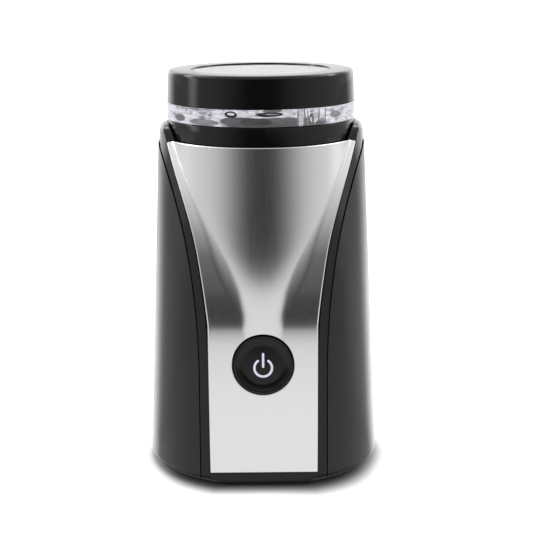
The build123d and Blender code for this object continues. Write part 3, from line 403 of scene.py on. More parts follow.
def soft_box(name, place):
    """A rectangular studio light that faces the grinder's middle."""
    data = bpy.data.lights.new(name, "AREA")
    data.shape = "RECTANGLE"
    data.size = BOX_WIDTH
    data.size_y = BOX_LENGTH
    data.energy = BOX_WATTS
    lamp = bpy.data.objects.new(name, data)
    lamp.location = place
    lamp.rotation_mode = "QUATERNION"
    lamp.rotation_quaternion = (Vector(place) - Vector(BOX_TARGET)).to_track_quat("Z", "Y")
    bpy.context.scene.collection.objects.link(lamp)


soft_box("left_box", (-BOX_ASIDE, BOX_BEHIND, BOX_UP))
soft_box("right_box", (BOX_ASIDE, BOX_BEHIND, BOX_UP))
print("two soft boxes of", BOX_WATTS, "W stand", BOX_ASIDE, "m aside")

# %% [markdown]
# ## Plastics
#
# Gloss black housings are polished tooling: a smooth skin with a faint waviness. Satin covers come
# from a spark-eroded tool: a fine grain that scatters the mirror image. Both are one recipe with a
# different roughness and grain. No moulded edge is a knife edge, so gloss parts get a small
# rounding in their shading, which catches a thin line of light along each edge.

# %% Plastic recipe
NOISE_RANGE = (0.3, 0.7)  # most of a noise lies between these
PATCH_SCALE = 90.0
ROUGH_SPREAD = 0.02
GRAIN_DETAIL = 3.0
BEVEL_SAMPLES = 6


def object_noise(tree, scale, detail=2.0, stretch=(1.0, 1.0, 1.0)):
    """Noise in object coordinates; scale is in features per metre."""
    place = add_node(tree, "ShaderNodeTexCoord")
    turn = add_node(tree, "ShaderNodeMapping")
    turn.inputs["Scale"].default_value = stretch
    tree.links.new(place.outputs["Object"], turn.inputs["Vector"])
    noise = add_node(tree, "ShaderNodeTexNoise", Scale=scale, Detail=detail)
    tree.links.new(turn.outputs[0], noise.inputs["Vector"])
    return noise.outputs["Fac"]


def bump_from(tree, height, strength, distance, edge=0.0):
    """A bump of the given depth in metres, on edges rounded in the shading by a radius."""
    bump = add_node(tree, "ShaderNodeBump", Strength=strength, Distance=distance)
    tree.links.new(height, bump.inputs["Height"])
    if edge:
        rounding = add_node(tree, "ShaderNodeBevel", samples=BEVEL_SAMPLES, Radius=edge)
        tree.links.new(rounding.outputs[0], bump.inputs["Normal"])
    return bump.outputs["Normal"]


def plastic(name, colour, roughness, grain, depth, specular=0.5, edge=0.0):
    """Moulded plastic: a colour, a roughness that varies a little, and a grain.

    The grain is in features per metre. Its depth and the edge's radius are in metres.
    """
    made = bpy.data.materials.new(name)
    made.use_nodes = True
    tree = made.node_tree
    shader = tree.nodes["Principled BSDF"]
    shader.inputs["Base Color"].default_value = (*colour, 1)
    shader.inputs["Specular IOR Level"].default_value = specular
    patches = object_noise(tree, PATCH_SCALE)
    roughnesses = (roughness - ROUGH_SPREAD * roughness, roughness + ROUGH_SPREAD)
    rough = smooth_step(tree, patches, *NOISE_RANGE, *roughnesses)
    tree.links.new(rough, shader.inputs["Roughness"])
    skin = bump_from(tree, object_noise(tree, grain, GRAIN_DETAIL), 1.0, depth, edge)
    tree.links.new(skin, shader.inputs["Normal"])
    return made


GLOSS_TONE = (0.003, 0.0031, 0.0034)

gloss_black = plastic(
    "gloss_black", GLOSS_TONE, 0.05, 240.0, 0.000002, specular=0.38, edge=0.0004
)
housing_black = plastic(
    "housing_black", GLOSS_TONE, 0.1, 500.0, 0.000002, specular=0.36, edge=0.0005
)
cover_black = plastic("cover_black", (0.003, 0.0032, 0.0034), 0.25, 3500.0, 0.000003, specular=0.45)
button_black = plastic(
    "button_black", (0.003, 0.003, 0.0032), 0.16, 900.0, 0.000001, specular=0.36, edge=0.0003
)
base_black = plastic("base_black", (0.014, 0.014, 0.015), 0.5, 2600.0, 0.00002)
rubber = plastic("rubber", (0.012, 0.012, 0.0125), 0.7, 1800.0, 0.00003, specular=0.3)
grey_plastic = plastic("grey_plastic", (0.09, 0.09, 0.095), 0.45, 2200.0, 0.00001)
fan_plastic = plastic("fan_plastic", (0.55, 0.53, 0.48), 0.45, 2200.0, 0.00001)
carbon = plastic("carbon", (0.02, 0.02, 0.021), 0.6, 3000.0, 0.00001)
mark_white = plastic("mark_white", (0.7, 0.7, 0.84), 0.45, 3000.0, 0.000001)
print("finishes so far:", len(bpy.data.materials))

# %% [markdown]
# ## Brushed steel
#
# Brushing leaves grooves along one direction, and the mirror image smears across them. On the
# front panel the grooves stand upright, so highlights spread sideways. The bowl is brushed on a
# lathe, so its grooves run round. A noise stretched along the grooves drives roughness, colour and
# bump together.

# %% Metal recipes
GROOVE_DETAIL = 4.0
GROOVE_ROUGH = 0.01


def brushed(name, colour, roughness, stretch, anisotropy, depth=0.0000025, tone_step=0.07):
    """Steel with grooves; stretch is in features per metre, few along the grooves, many across."""
    made = bpy.data.materials.new(name)
    made.use_nodes = True
    tree = made.node_tree
    shader = tree.nodes["Principled BSDF"]
    shader.inputs["Metallic"].default_value = 1.0
    shader.inputs["Anisotropic"].default_value = anisotropy
    grooves = object_noise(tree, 1.0, GROOVE_DETAIL, stretch)
    tone = add_node(tree, "ShaderNodeMix", data_type="RGBA")
    darker = [(1.0 - tone_step) * part for part in colour]
    lighter = [min(1.0, (1.0 + tone_step) * part) for part in colour]
    tone.inputs["A"].default_value = (*darker, 1)
    tone.inputs["B"].default_value = (*lighter, 1)
    tree.links.new(grooves, tone.inputs["Factor"])
    tree.links.new(tone.outputs["Result"], shader.inputs["Base Color"])
    roughnesses = (roughness - GROOVE_ROUGH, roughness + GROOVE_ROUGH)
    rough = smooth_step(tree, grooves, *NOISE_RANGE, *roughnesses)
    tree.links.new(rough, shader.inputs["Roughness"])
    tree.links.new(bump_from(tree, grooves, 1.0, depth), shader.inputs["Normal"])
    tangent = add_node(tree, "ShaderNodeTangent", direction_type="RADIAL", axis="Z")
    tree.links.new(tangent.outputs[0], shader.inputs["Tangent"])
    return made


def metal(name, colour, roughness, grain=900.0, depth=0.000004):
    """Cast, turned or plated metal with a fine even texture."""
    made = plastic(name, colour, roughness, grain, depth)
    made.node_tree.nodes["Principled BSDF"].inputs["Metallic"].default_value = 1.0
    return made


panel_steel = brushed(
    "panel_steel", (0.92, 0.92, 0.92), 0.18, (3000.0, 3000.0, 60.0), 1.0, 0.0000002, 0.04
)
bowl_steel = brushed("bowl_steel", (0.7, 0.69, 0.68), 0.24, (120.0, 120.0, 5200.0), 0.3)
plain_steel = metal("plain_steel", (0.6, 0.6, 0.62), 0.3)
laminated = brushed(
    "laminated_steel", (0.32, 0.32, 0.34), 0.42, (60.0, 60.0, 2400.0), 0.3, 0.00002
)
copper = brushed("copper_wire", (0.72, 0.32, 0.16), 0.35, (300.0, 300.0, 2600.0), 0.2, 0.00004)
copper_bars = metal("copper_bars", (0.78, 0.45, 0.25), 0.3)
bronze = metal("bronze", (0.6, 0.42, 0.2), 0.4)
aluminium = metal("cast_aluminium", (0.62, 0.63, 0.65), 0.42, 1500.0, 0.00003)
print("finishes so far:", len(bpy.data.materials))

# %% [markdown]
# ## The painted band of the lid's cup
#
# The lid's cup is a clear moulding. Under the cap its wall is painted with light instead of
# letting it through: a bright milky tone for the lit steel of the bowl that shines through the
# wall, and painted reflections of the parts behind it, as grey ovals and thin upright lines. Each
# is an oval mask in the front view, laid over the last one, and a small ripple bends their edges as
# a thick wall does.

# %% Painted band
# Painted light: the bright and dim tones of the lit bowl seen through the wall
BAND_PAINTED_LIGHT = (0.86, 0.86, 0.92)
BAND_PAINTED_SHADE = (0.3, 0.29, 0.42)
CLOUD_SCALE = 300.0
CLOUD_RANGE = (0.48, 0.72)
STREAK_SCALE = 160.0
STREAK_RANGE = (0.35, 0.65)
STREAK_TONES = (0.7, 1.05)
RIPPLE_SCALE = 330.0
RIPPLE_REACH = 0.9  # in millimetres
WALL_ROUGH = 0.3
REFLECTION_EDGE = (0.88, 1.08)  # shares of an oval's half size between which it fades
REFLECTION_BLUE = 1.06
# Painted reflections of the parts behind the wall, each an oval in the front view:
# centre across and up, half width and half height in millimetres, brightness
PAINTED_REFLECTIONS = (
    (6.0, 157.9, 22.5, 3.0, 0.15),
    (-9.0, 159.3, 8.5, 1.9, 0.14),
    (-2.0, 159.0, 7.0, 1.7, 0.08),
    (-24.0, 158.3, 6.5, 1.5, 0.28),
    (-34.7, 159.3, 2.3, 1.6, 0.19),
    (-24.5, 162.2, 2.1, 0.8, 0.4),
    (-28.0, 163.6, 9.0, 0.35, 0.3),
    (31.6, 160.6, 2.4, 1.4, 0.27),
    (4.8, 163.7, 4.2, 0.8, 0.16),
    (-12.6, 162.1, 2.7, 1.3, 0.012),
    (-12.6, 162.3, 1.5, 0.6, 0.8),
    (3.4, 162.2, 5.9, 1.0, 0.01),
    (4.6, 162.2, 3.2, 0.3, 0.3),
    (16.6, 160.0, 1.3, 4.0, 0.62),
    (15.5, 160.5, 0.35, 4.0, 0.24),
    (18.3, 161.0, 0.3, 4.0, 0.2),
    (19.5, 160.2, 0.3, 3.4, 0.3),
    (22.4, 160.2, 1.9, 2.4, 0.68),
    (21.2, 161.2, 0.9, 0.8, 0.14),
    (22.0, 159.2, 0.4, 1.6, 0.1),
    (24.4, 160.8, 0.3, 3.4, 0.24),
    (27.2, 160.6, 0.3, 3.4, 0.26),
    (25.9, 158.9, 1.0, 0.9, 0.3),
)


def reflection_mask(tree, point, across, up, half_across, half_up):
    """1 inside an oval in the front view and 0 outside it, with a soft edge."""
    offset = add_node(tree, "ShaderNodeVectorMath", operation="SUBTRACT")
    tree.links.new(point, offset.inputs[0])
    offset.inputs[1].default_value = (across * MM, 0.0, up * MM)
    scaled = add_node(tree, "ShaderNodeVectorMath", operation="MULTIPLY")
    tree.links.new(offset.outputs[0], scaled.inputs[0])
    scaled.inputs[1].default_value = (1.0 / (half_across * MM), 0.0, 1.0 / (half_up * MM))
    reach = add_node(tree, "ShaderNodeVectorMath", operation="LENGTH")
    tree.links.new(scaled.outputs[0], reach.inputs[0])
    return smooth_step(tree, reach.outputs["Value"], *REFLECTION_EDGE, 1.0, 0.0)


def rippled_point(tree):
    """The object's coordinates, shifted a little this way and that."""
    place = add_node(tree, "ShaderNodeTexCoord")
    ripple = add_node(tree, "ShaderNodeTexNoise", Scale=RIPPLE_SCALE, Detail=2.0)
    tree.links.new(place.outputs["Object"], ripple.inputs["Vector"])
    centred = add_node(tree, "ShaderNodeVectorMath", operation="SUBTRACT")
    tree.links.new(ripple.outputs["Color"], centred.inputs[0])
    centred.inputs[1].default_value = (0.5, 0.5, 0.5)
    small = add_node(tree, "ShaderNodeVectorMath", operation="SCALE")
    tree.links.new(centred.outputs[0], small.inputs[0])
    small.inputs["Scale"].default_value = RIPPLE_REACH * MM
    point = add_node(tree, "ShaderNodeVectorMath", operation="ADD")
    tree.links.new(place.outputs["Object"], point.inputs[0])
    tree.links.new(small.outputs[0], point.inputs[1])
    return point.outputs[0]


def painted_band_shader(tree):
    """The painted band's shader: painted light in clouds, then the painted reflections, then fine
    streaks over all.
    """
    point = rippled_point(tree)
    cloud = object_noise(tree, CLOUD_SCALE, 4.0, (1.0, 1.0, 1.8))
    base = add_node(tree, "ShaderNodeMix", data_type="RGBA")
    base.inputs["A"].default_value = (*BAND_PAINTED_LIGHT, 1)
    base.inputs["B"].default_value = (*BAND_PAINTED_SHADE, 1)
    tree.links.new(smooth_step(tree, cloud, *CLOUD_RANGE), base.inputs["Factor"])
    colour = base.outputs["Result"]
    for across, up, half_across, half_up, level in PAINTED_REFLECTIONS:
        layer = add_node(tree, "ShaderNodeMix", data_type="RGBA")
        mask = reflection_mask(tree, point, across, up, half_across, half_up)
        tree.links.new(mask, layer.inputs["Factor"])
        tree.links.new(colour, layer.inputs["A"])
        layer.inputs["B"].default_value = (level, level, min(1.0, REFLECTION_BLUE * level), 1)
        colour = layer.outputs["Result"]
    fine = object_noise(tree, STREAK_SCALE, 4.0, (1.0, 1.0, 7.0))
    streaks = smooth_step(tree, fine, *STREAK_RANGE, *STREAK_TONES)
    uneven = add_node(tree, "ShaderNodeVectorMath", operation="SCALE")
    tree.links.new(colour, uneven.inputs[0])
    tree.links.new(streaks, uneven.inputs["Scale"])
    wall = add_node(tree, "ShaderNodeBsdfPrincipled", Roughness=WALL_ROUGH)
    tree.links.new(uneven.outputs[0], wall.inputs["Base Color"])
    return wall.outputs[0]


# The marks counted here are painted reflections of the parts behind the wall.
print("the wall shows", len(PAINTED_REFLECTIONS), "moulded marks")

# %% [markdown]
# ## Clear plastic
#
# The rest of the cup bends light like glass, but is a little softer at its edges and has a faint
# cool tint. One material serves the whole cup: a mask by height and radius picks the outer wall
# below the cap, so the cup stays one piece, as it is moulded.

# %% Clear plastic
WALL_TOP = 0.1643
WALL_RADIUS = 0.0385
# The share of painted light and painted reflections on the wall below the cap
PAINTED_BAND_WEIGHT = 0.86
CLEAR_TINT = (0.93, 0.94, 0.98)
CLEAR_IOR = 1.5
FLOW_SCALE = 60.0
CLEAR_ROUGH = (0.03, 0.08)
WAVE_SCALE = 110.0
WAVE_STRENGTH = 0.8
WAVE_DEPTH = 0.00003


def painted_band_mask(tree):
    """PAINTED_BAND_WEIGHT on the cup's outer wall below the cap and 0 elsewhere."""
    place = add_node(tree, "ShaderNodeTexCoord")
    split = add_node(tree, "ShaderNodeSeparateXYZ")
    tree.links.new(place.outputs["Object"], split.inputs[0])
    level = add_node(tree, "ShaderNodeVectorMath", operation="MULTIPLY")
    tree.links.new(place.outputs["Object"], level.inputs[0])
    level.inputs[1].default_value = (1.0, 1.0, 0.0)
    radius = add_node(tree, "ShaderNodeVectorMath", operation="LENGTH")
    tree.links.new(level.outputs[0], radius.inputs[0])
    below = math_node(tree, "LESS_THAN", split.outputs["Z"], WALL_TOP)
    outside = math_node(tree, "GREATER_THAN", radius.outputs["Value"], WALL_RADIUS)
    return product(tree, below, outside, PAINTED_BAND_WEIGHT)


def clear_plastic():
    """Clear styrene with a faint cool tint, and painted light and painted reflections on its outer
    wall below the cap.
    """
    made = bpy.data.materials.new("clear_plastic")
    made.use_nodes = True
    tree = made.node_tree
    shader = tree.nodes["Principled BSDF"]
    shader.inputs["Base Color"].default_value = (*CLEAR_TINT, 1)
    shader.inputs["Transmission Weight"].default_value = 1.0
    shader.inputs["IOR"].default_value = CLEAR_IOR
    flow = object_noise(tree, FLOW_SCALE)
    rough = smooth_step(tree, flow, *NOISE_RANGE, *CLEAR_ROUGH)
    tree.links.new(rough, shader.inputs["Roughness"])
    waves = bump_from(tree, object_noise(tree, WAVE_SCALE), WAVE_STRENGTH, WAVE_DEPTH)
    tree.links.new(waves, shader.inputs["Normal"])
    both = choose_shader(tree, painted_band_mask(tree), painted_band_shader(tree), shader.outputs[0])
    tree.links.new(both, tree.nodes["Material Output"].inputs["Surface"])
    return made


clear = clear_plastic()
print("the clear plastic is a network of", len(clear.node_tree.nodes), "nodes")

# %% [markdown]
# ## Dressing a frame piece
#
# The frame's meshes are loose triangles with sharp corners. A visible shell is copied, its seams
# are welded and its curved faces are shaded smooth, while true edges stay sharp. The copy rides on
# the same body and stands for the frame's piece.

# %% Dress a piece
SHARP_ANGLE = radians(28)
WELD_DISTANCE = 0.000002
SPECK_LENGTH = 0.000001


def welded_copy(node_name):
    """A bmesh copy of a frame node with its seams closed and its sharp edges marked."""
    shell = bmesh.new()
    shell.from_mesh(nodes[node_name].data)
    bmesh.ops.remove_doubles(shell, verts=shell.verts, dist=WELD_DISTANCE)
    bmesh.ops.dissolve_degenerate(shell, dist=SPECK_LENGTH, edges=shell.edges)
    for face in shell.faces:
        face.smooth = True
    for edge in shell.edges:
        edge.smooth = len(edge.link_faces) == 2 and edge.calc_face_angle(0.0) < SHARP_ANGLE
    return shell


def finish_piece(shell, name, body, material, replaced=None):
    """Turn a bmesh into a piece that rides on a body, and let it stand for a frame node."""
    mesh = bpy.data.meshes.new(name)
    shell.to_mesh(mesh)
    shell.free()
    mesh.materials.append(material)
    piece = bpy.data.objects.new(name, mesh)
    bpy.context.scene.collection.objects.link(piece)
    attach(piece, body)
    if replaced:
        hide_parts(replaced)
    print(name, "has", len(mesh.polygons), "faces")
    return piece


def body_of_node(node_name):
    """The body that a frame node rides on."""
    bodies = frame["record"]["behaviour"]["bodies"]
    return next(body for body, members in bodies.items() if node_name in members)


def dress(node_name, material):
    """A frame node as a welded, smooth-shaded shell with its finish."""
    shell = welded_copy(node_name)
    body = body_of_node(node_name)
    return finish_piece(shell, node_name + "_shell", body, material, node_name)


# %% [markdown]
# ## The face of the steel panel
#
# The panel is one pressed sheet. Its face leans back, bends and then runs away in two arcs toward
# the ears. The frame's triangles are too coarse for a mirror, so the sheet is laid out again from
# the same dimensions. A pressed sheet also springs back a little where it isn't held: the formula
# below lets it stand slightly proud of the frame's face between its foot and the ears, because a
# mirror shows a tenth of a degree.

# %% The panel's face (millimetres)
FACE_FOOT = (46.08, 2.0)  # depth and height of the face's foot
FACE_LEAN = radians(2.95)
BEND_Z = 72.0
BEND_LEAN = radians(5.8)
MIDDLE = (38.45, 101.0)
EAR_TOP = (14.6, 154.9)
SPRING_BACK = 0.005  # how much steeper the pressed face stands than the frame's, about SPRING_Z
SPRING_Z = 38.0
PRESSED_Z = 78.9  # where the pressed sheet bends
SPRING_END = 112.0  # from here up the sheet lies on the frame's face again
BEND_SOFTNESS = 0.9
ARC_REACH = 20.0  # further than this under its bend the sheet is straight


def arc_from(start, lean, target):
    """Centre and radius of the arc that leaves start at a lean and passes through target."""
    inward = Vector((-cos(lean), -sin(lean)))
    step = Vector(target) - Vector(start)
    radius = step.length_squared / (2.0 * step.dot(inward))
    return Vector(start) + radius * inward, radius


def straight_depth(z):
    """The frame's face below its bend."""
    return FACE_FOOT[0] - (z - FACE_FOOT[1]) * tan(FACE_LEAN)


lower_centre, lower_radius = arc_from((straight_depth(BEND_Z), BEND_Z), BEND_LEAN, MIDDLE)
middle_lean = atan2(MIDDLE[1] - lower_centre.y, MIDDLE[0] - lower_centre.x)
upper_centre, upper_radius = arc_from(MIDDLE, middle_lean, EAR_TOP)


def smooth_larger(first, second, softness):
    """The larger of two values, blended where they lie closer than softness."""
    share = min(1.0, max(0.0, 0.5 + 0.5 * (first - second) / softness))
    return second + share * (first - second) + softness * share * (1.0 - share)


def arc_depth(z):
    """The frame's face above its bend."""
    upper = z > MIDDLE[1]
    centre = upper_centre if upper else lower_centre
    radius = upper_radius if upper else lower_radius
    return centre.x + sqrt(radius**2 - (z - centre.y) ** 2)


def frame_depth(z):
    """How far in front of the axis the frame's face lies at a height."""
    return arc_depth(z) if z > BEND_Z else straight_depth(z)


def sprung_depth(z):
    """The pressed sheet below its bend."""
    return straight_depth(z) + SPRING_BACK * (z - SPRING_Z)


SPRING_RISE = sprung_depth(PRESSED_Z) - arc_depth(PRESSED_Z)


def face_depth(z):
    """How far in front of the axis the pressed sheet's face lies at a height."""
    if z < PRESSED_Z - ARC_REACH:
        return sprung_depth(z)
    ease = min(1.0, (z - PRESSED_Z) / (SPRING_END - PRESSED_Z))
    arc = arc_depth(z) + SPRING_RISE * (1.0 - ease) ** 2
    return -smooth_larger(-sprung_depth(z), -arc, BEND_SOFTNESS)


print("the pressed sheet stands up to", round(SPRING_RISE, 2), "mm in front of the frame's face")

# %% [markdown]
# ## The column in the panel
#
# A round column, as wide as the collar, stands in the leaning face. It could be a second solid and
# a fillet, but a press draws one sheet: so the face and the column are two depths, and the sheet is
# the smooth larger of the two. The valley between them is crisp beside the ears, opens downward,
# and closes again where the column runs out in the face. The housing's cone trims the sides.

# %% The panel's column and outline (millimetres)
COLUMN_RADIUS = 43.05
COLUMN_FLARE = 0.0002  # the column widens a little below FLARE_TOP
FLARE_TOP = 98.0
VALLEY_HIGH = (128.0, 0.7)  # height and softness of the valley where it is crisp
VALLEY_LOW = (98.0, 1.7)  # and where it has opened
VALLEY_SHARE = 0.65  # its softness is at most this share of the column's step out of the face
VALLEY_LEAST = 0.4  # but never less than this
LEAST_BLEND = 0.5
LIMIT_BLEND = 1.2
FOOT_RADIUS = 51.7  # of the cone that trims the sheet, at the face's foot
CONE_SLOPE = 6.4 / 146.0
EDGE_ROUND = 0.55  # width of the sheet's rounded rim
EDGE_DROP = 0.36  # and how far it falls back
EDGE_CURVE = 1.3


def valley_softness(z, radius):
    """The valley's softness at a height, beside a column of a radius."""
    share = min(1.0, max(0.0, (VALLEY_HIGH[0] - z) / (VALLEY_HIGH[0] - VALLEY_LOW[0])))
    opened = VALLEY_HIGH[1] + share * (VALLEY_LOW[1] - VALLEY_HIGH[1])
    step = radius - face_depth(z)
    limit = smooth_larger(VALLEY_LEAST, VALLEY_SHARE * step, LEAST_BLEND)
    return -smooth_larger(-opened, -limit, LIMIT_BLEND)


def panel_depth(x, z):
    """How far in front of the axis the sheet lies."""
    radius = COLUMN_RADIUS + COLUMN_FLARE * max(0.0, FLARE_TOP - z) ** 2
    column = sqrt(max(0.0, radius**2 - x * x))
    return smooth_larger(face_depth(z), column, valley_softness(z, radius))


def panel_half_width(z):
    """How far from the middle the cone trims the sheet."""
    radius = FOOT_RADIUS - CONE_SLOPE * (z - FACE_FOOT[1])
    return sqrt(radius**2 - frame_depth(z) ** 2)


def edge_drop(distance):
    """How far a rounded edge falls back at a distance from the rim."""
    if distance >= EDGE_ROUND:
        return 0.0
    return EDGE_DROP * (1.0 - distance / EDGE_ROUND) ** EDGE_CURVE


print("the sheet is", round(2 * panel_half_width(FACE_FOOT[1]), 1), "mm wide at the face's foot")

# %% [markdown]
# ## The panel's sheet
#
# The sheet is a fine grid on that formula, closest at its rims, which fall back in a small round as
# a sheared edge does. Round the button the grid gives way to rings, so that the hole is truly
# round. The back is the same formula one sheet's thickness behind, joined to the front at each rim.

# %% The sheet's grid, hole and back
PANEL_LOW = 6.2
PANEL_HIGH = 148.5
SHEET = 0.4
TOP_SHARE = 0.5  # the sheet's top and bottom edges are rounded less than its sides
HOLE_Z = 54.6
HOLE_RADIUS = 13.2
HOLE_CLEARING = 1.6  # the grid is dropped this far round the hole
RIM_STEPS = (0.0, 0.12, 0.25, 0.4, EDGE_ROUND)
OUTER_RING = 0.8
RING_SIDES = 96


def spread(low, high, count):
    """Rim steps at both ends and an even spacing between them."""
    inner_low, inner_high = low + EDGE_ROUND, high - EDGE_ROUND
    even = [inner_low + (inner_high - inner_low) * i / count for i in range(1, count)]
    return [low + step for step in RIM_STEPS] + even + [high - step for step in reversed(RIM_STEPS)]


def sheet_vertex(shell, x, z, rim_distance):
    """A new vertex on the sheet's front, fallen back near a rim."""
    return shell.verts.new((x * MM, (edge_drop(rim_distance) - panel_depth(x, z)) * MM, z * MM))


def hole_distance(vertex):
    """How far outside the button's hole a vertex lies, in the sheet's front view."""
    return sqrt((vertex.co.x / MM) ** 2 + (vertex.co.z / MM - HOLE_Z) ** 2) - HOLE_RADIUS


def open_hole(shell):
    """Cut the button's hole: drop the grid around it, lay rings round it and fill between them."""
    near = [
        face for face in shell.faces if any(hole_distance(v) < HOLE_CLEARING for v in face.verts)
    ]
    before = {edge for edge in shell.edges if edge.is_boundary}
    bmesh.ops.delete(shell, geom=near, context="FACES")
    jagged = [edge for edge in shell.edges if edge.is_boundary and edge not in before]
    rings = []
    for step in (*RIM_STEPS, OUTER_RING):
        radius = HOLE_RADIUS + step
        angles = [2.0 * pi * i / RING_SIDES for i in range(RING_SIDES)]
        spots = [(radius * cos(a), HOLE_Z + radius * sin(a)) for a in angles]
        rings.append([sheet_vertex(shell, x, z, step) for x, z in spots])
    for inner, outer in zip(rings, rings[1:]):
        for i in range(RING_SIDES):
            j = (i + 1) % RING_SIDES
            shell.faces.new((inner[i], inner[j], outer[j], outer[i]))
    rim = [shell.edges.get((rings[-1][i], rings[-1][i - 1])) for i in range(RING_SIDES)]
    fill = bmesh.ops.triangle_fill(
        shell, edges=jagged + rim, use_beauty=True, normal=(0, -1, 0)
    )["geom"]
    filled = [face for face in fill if isinstance(face, bmesh.types.BMFace)]
    between = dict.fromkeys(
        edge
        for face in filled
        for edge in face.edges
        if all(other in filled for other in edge.link_faces)
    )
    bmesh.ops.beautify_fill(shell, faces=filled, edges=list(between), method="ANGLE")


def close_sheet(shell):
    """Lay the sheet's back behind its front and join the two round every rim."""
    rim = [edge for edge in shell.edges if edge.is_boundary]
    twin = bmesh.ops.duplicate(shell, geom=shell.verts[:] + shell.edges[:] + shell.faces[:])
    back_of = twin["vert_map"]
    back = [part for part in twin["geom"] if isinstance(part, bmesh.types.BMVert)]
    for vertex in back:
        vertex.co.y = (SHEET - panel_depth(vertex.co.x / MM, vertex.co.z / MM)) * MM
    for edge in rim:
        first, second = edge.verts
        shell.faces.new((first, second, back_of[second], back_of[first]))
    bmesh.ops.recalc_face_normals(shell, faces=shell.faces)


print("the hole is", 2 * HOLE_RADIUS, "mm across, its middle", HOLE_Z, "mm up")

# %% Front panel
ROW_STEP = 1.2
COLUMNS = 84
PANEL_SHARP = radians(40)

panel = bmesh.new()
panel_rows = []
row_count = round((PANEL_HIGH - PANEL_LOW) / ROW_STEP)
for z in spread(PANEL_LOW, PANEL_HIGH, row_count):
    half = panel_half_width(z)
    row = []
    for x in spread(-half, half, COLUMNS):
        upright = min(z - PANEL_LOW, PANEL_HIGH - z) / TOP_SHARE
        row.append(sheet_vertex(panel, x, z, min(half - abs(x), upright)))
    panel_rows.append(row)
for below, over in zip(panel_rows, panel_rows[1:]):
    for i in range(len(below) - 1):
        panel.faces.new((below[i], below[i + 1], over[i + 1], over[i]))
open_hole(panel)
close_sheet(panel)
for face in panel.faces:
    face.smooth = True
for edge in panel.edges:
    edge.smooth = edge.calc_face_angle(0.0) < PANEL_SHARP
panel_piece = finish_piece(
    panel, "front_panel_sheet", "base", panel_steel, "front_panel"
)

# %% [markdown]
# ## The panel's normals
#
# Even on a fine grid, the corners of the faces make small waves in a mirror image. The formula
# knows the true slope at each vertex, so the front gets its normals from it, and only the rims,
# the walls and the back keep the ones that the mesh works out.

# %% The panel's normals
ON_FORMULA = 0.0005  # a vertex this near the formula lies on the sheet's front
PROBE = 0.01


def sheet_normal(vertex):
    """The formula's own normal on the sheet's front; zero, for the usual one, anywhere else."""
    x, y, z = (part / MM for part in vertex.co)
    if abs(y + panel_depth(x, z)) > ON_FORMULA:
        return (0.0, 0.0, 0.0)
    across = (panel_depth(x + PROBE, z) - panel_depth(x - PROBE, z)) / (2 * PROBE)
    along = (panel_depth(x, z + PROBE) - panel_depth(x, z - PROBE)) / (2 * PROBE)
    return Vector((-across, -1.0, -along)).normalized()


sheet_mesh = panel_piece.data
sheet_normals = [sheet_normal(vertex) for vertex in sheet_mesh.vertices]
sheet_mesh.normals_split_custom_set_from_vertices(sheet_normals)
print(sum(1 for normal in sheet_normals if any(normal)), "vertices take the formula's normal")

# %% [markdown]
# ## The power mark
#
# The mark is pad-printed in the floor of the button's dish: a ring with a gap at the top and an
# upright bar. It is laid as a film a few hundredths of a millimetre thick and rides on the button,
# so that it goes in with it.

# %% The power mark
MARK_WIDTH = 1.0
MARK_RADIUS = 3.8
MARK_DROP = 1.3  # the ring's centre lies this far under the button's centre
MARK_GAP = radians(36)
BAR_TOP = 6.1
FILM = 0.03
DISH_RADIUS = 8.1
CAP_STEPS = 12
RING_STEPS = 60

button_turn = Matrix.Rotation(pi / 2 - FACE_LEAN, 4, "X")
button_place = Matrix.Translation((0.0, -straight_depth(HOLE_Z) * MM, HOLE_Z * MM)) @ button_turn
to_button = button_place.inverted()
dish_floor = max(
    spot.z
    for spot in (to_button @ vertex.co for vertex in nodes["power_button"].data.vertices)
    if spot.xy.length < DISH_RADIUS * MM
)


def stroke(shell, path, width, low, high):
    """A flat line of a width with round ends along a path, as a thin solid."""

    def side(index, sign):
        ahead = Vector(path[min(index + 1, len(path) - 1)]) - Vector(path[max(index - 1, 0)])
        across = Vector((-ahead.y, ahead.x)).normalized() * sign * width / 2
        return Vector(path[index]) + across

    def cap(index, start):
        centre = Vector(path[index])
        angles = [-pi * k / CAP_STEPS for k in range(1, CAP_STEPS)]
        return [centre + Matrix.Rotation(angle, 2) @ (start - centre) for angle in angles]

    outline = [side(i, 1) for i in range(len(path))]
    outline += cap(len(path) - 1, outline[-1])
    back = [side(i, -1) for i in reversed(range(len(path)))]
    outline += back + cap(0, back[-1])
    bottom = [shell.verts.new((spot.x, spot.y, low)) for spot in outline]
    top = [shell.verts.new((spot.x, spot.y, high)) for spot in outline]
    shell.faces.new(top)
    shell.faces.new(reversed(bottom))
    for i in range(len(outline)):
        j = (i + 1) % len(outline)
        shell.faces.new((bottom[i], bottom[j], top[j], top[i]))


mark = bmesh.new()
sweep = 2 * pi - 2 * MARK_GAP
turns = [MARK_GAP + sweep * i / RING_STEPS for i in range(RING_STEPS + 1)]
ring_path = [(MARK_RADIUS * sin(turn), MARK_RADIUS * cos(turn) - MARK_DROP) for turn in turns]
bar_path = [(0.0, MARK_WIDTH / 2 - MARK_DROP), (0.0, BAR_TOP - MARK_DROP)]
for path in (ring_path, bar_path):
    stroke(mark, path, MARK_WIDTH, dish_floor / MM, dish_floor / MM + FILM)
bmesh.ops.transform(mark, matrix=button_place @ Matrix.Scale(MM, 4), verts=mark.verts)
bmesh.ops.recalc_face_normals(mark, faces=mark.faces)
finish_piece(mark, "power_mark", "button", mark_white)
print("the dish's floor lies", round(dish_floor / MM, 2), "mm out of the panel's face")

# %% [markdown]
# ## The visible shells
#
# Every shell that the eye meets, outside or under the lid, gets its own finish: gloss for the cap
# and the collar, a little less for the housing, satin for the grip covers, plain steel for the
# blade, and rubber where it stands on the table.

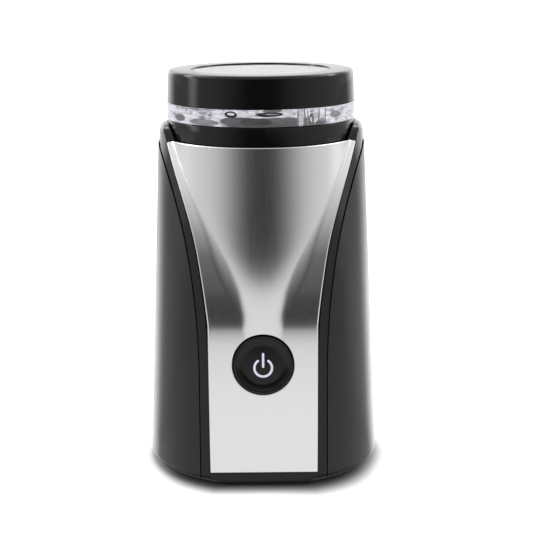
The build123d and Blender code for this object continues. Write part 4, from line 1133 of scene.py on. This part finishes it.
# %% Visible shells
SHELLS = {
    "housing": housing_black,
    "left_side_cover": cover_black,
    "right_side_cover": cover_black,
    "collar": gloss_black,
    "lid_cap": gloss_black,
    "lid_window": clear,
    "power_button": button_black,
    "button_bezel": housing_black,
    "grinding_bowl": bowl_steel,
    "blade": plain_steel,
    "blade_nut": plain_steel,
    "bottom_cover": base_black,
    "rubber_feet": rubber,
    "cord_gland": rubber,
}
for shell_name, shell_finish in SHELLS.items():
    dress(shell_name, shell_finish)

# %% [markdown]
# ## The button's spring
#
# A compression spring is wound from one wire, and pressing it closes the gaps between its turns.
# The coil stands on the sleeve's floor behind the button. It is the one piece that changes length,
# so it gets a mesh of its own.

# %% Button spring
spring = dress("button_spring", plain_steel)
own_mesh(spring)

# %% [markdown]
# ## The inner pieces
#
# Motor, switches, screws and the lock's spring stay as the frame made them and only get their
# finish.

# %% Inner finishes
INNER = {
    "bowl_studs": bowl_steel,
    "bowl_gasket": rubber,
    "bowl_screws": plain_steel,
    "shaft_seal": rubber,
    "blade_hub": plain_steel,
    "motor_shaft": plain_steel,
    "rotor_core": laminated,
    "rotor_windings": copper,
    "commutator": copper_bars,
    "cooling_fan": fan_plastic,
    "stator_core": laminated,
    "field_coils": copper,
    "upper_motor_bracket": aluminium,
    "lower_motor_bracket": aluminium,
    "upper_bearing": bronze,
    "lower_bearing": bronze,
    "brush_holders": copper_bars,
    "carbon_brushes": carbon,
    "motor_screws": plain_steel,
    "motor_mounts": rubber,
    "mount_screws": plain_steel,
    "base_screws": plain_steel,
    "power_switch": grey_plastic,
    "switch_plunger": grey_plastic,
    "interlock_rod": grey_plastic,
    "interlock_spring": plain_steel,
    "interlock_switch": grey_plastic,
}
for inner_name, inner_finish in INNER.items():
    inner_mesh = nodes[inner_name].data
    inner_mesh.materials.clear()
    inner_mesh.materials.append(inner_finish)
print("dressed", len(SHELLS), "shells and", len(INNER), "inner pieces")

# %% [markdown]
#
# The view is plain, so that a colour shows as it is written.

# %% Finish
bpy.context.scene.view_settings.view_transform = "Standard"
bpy.context.view_layer.update()
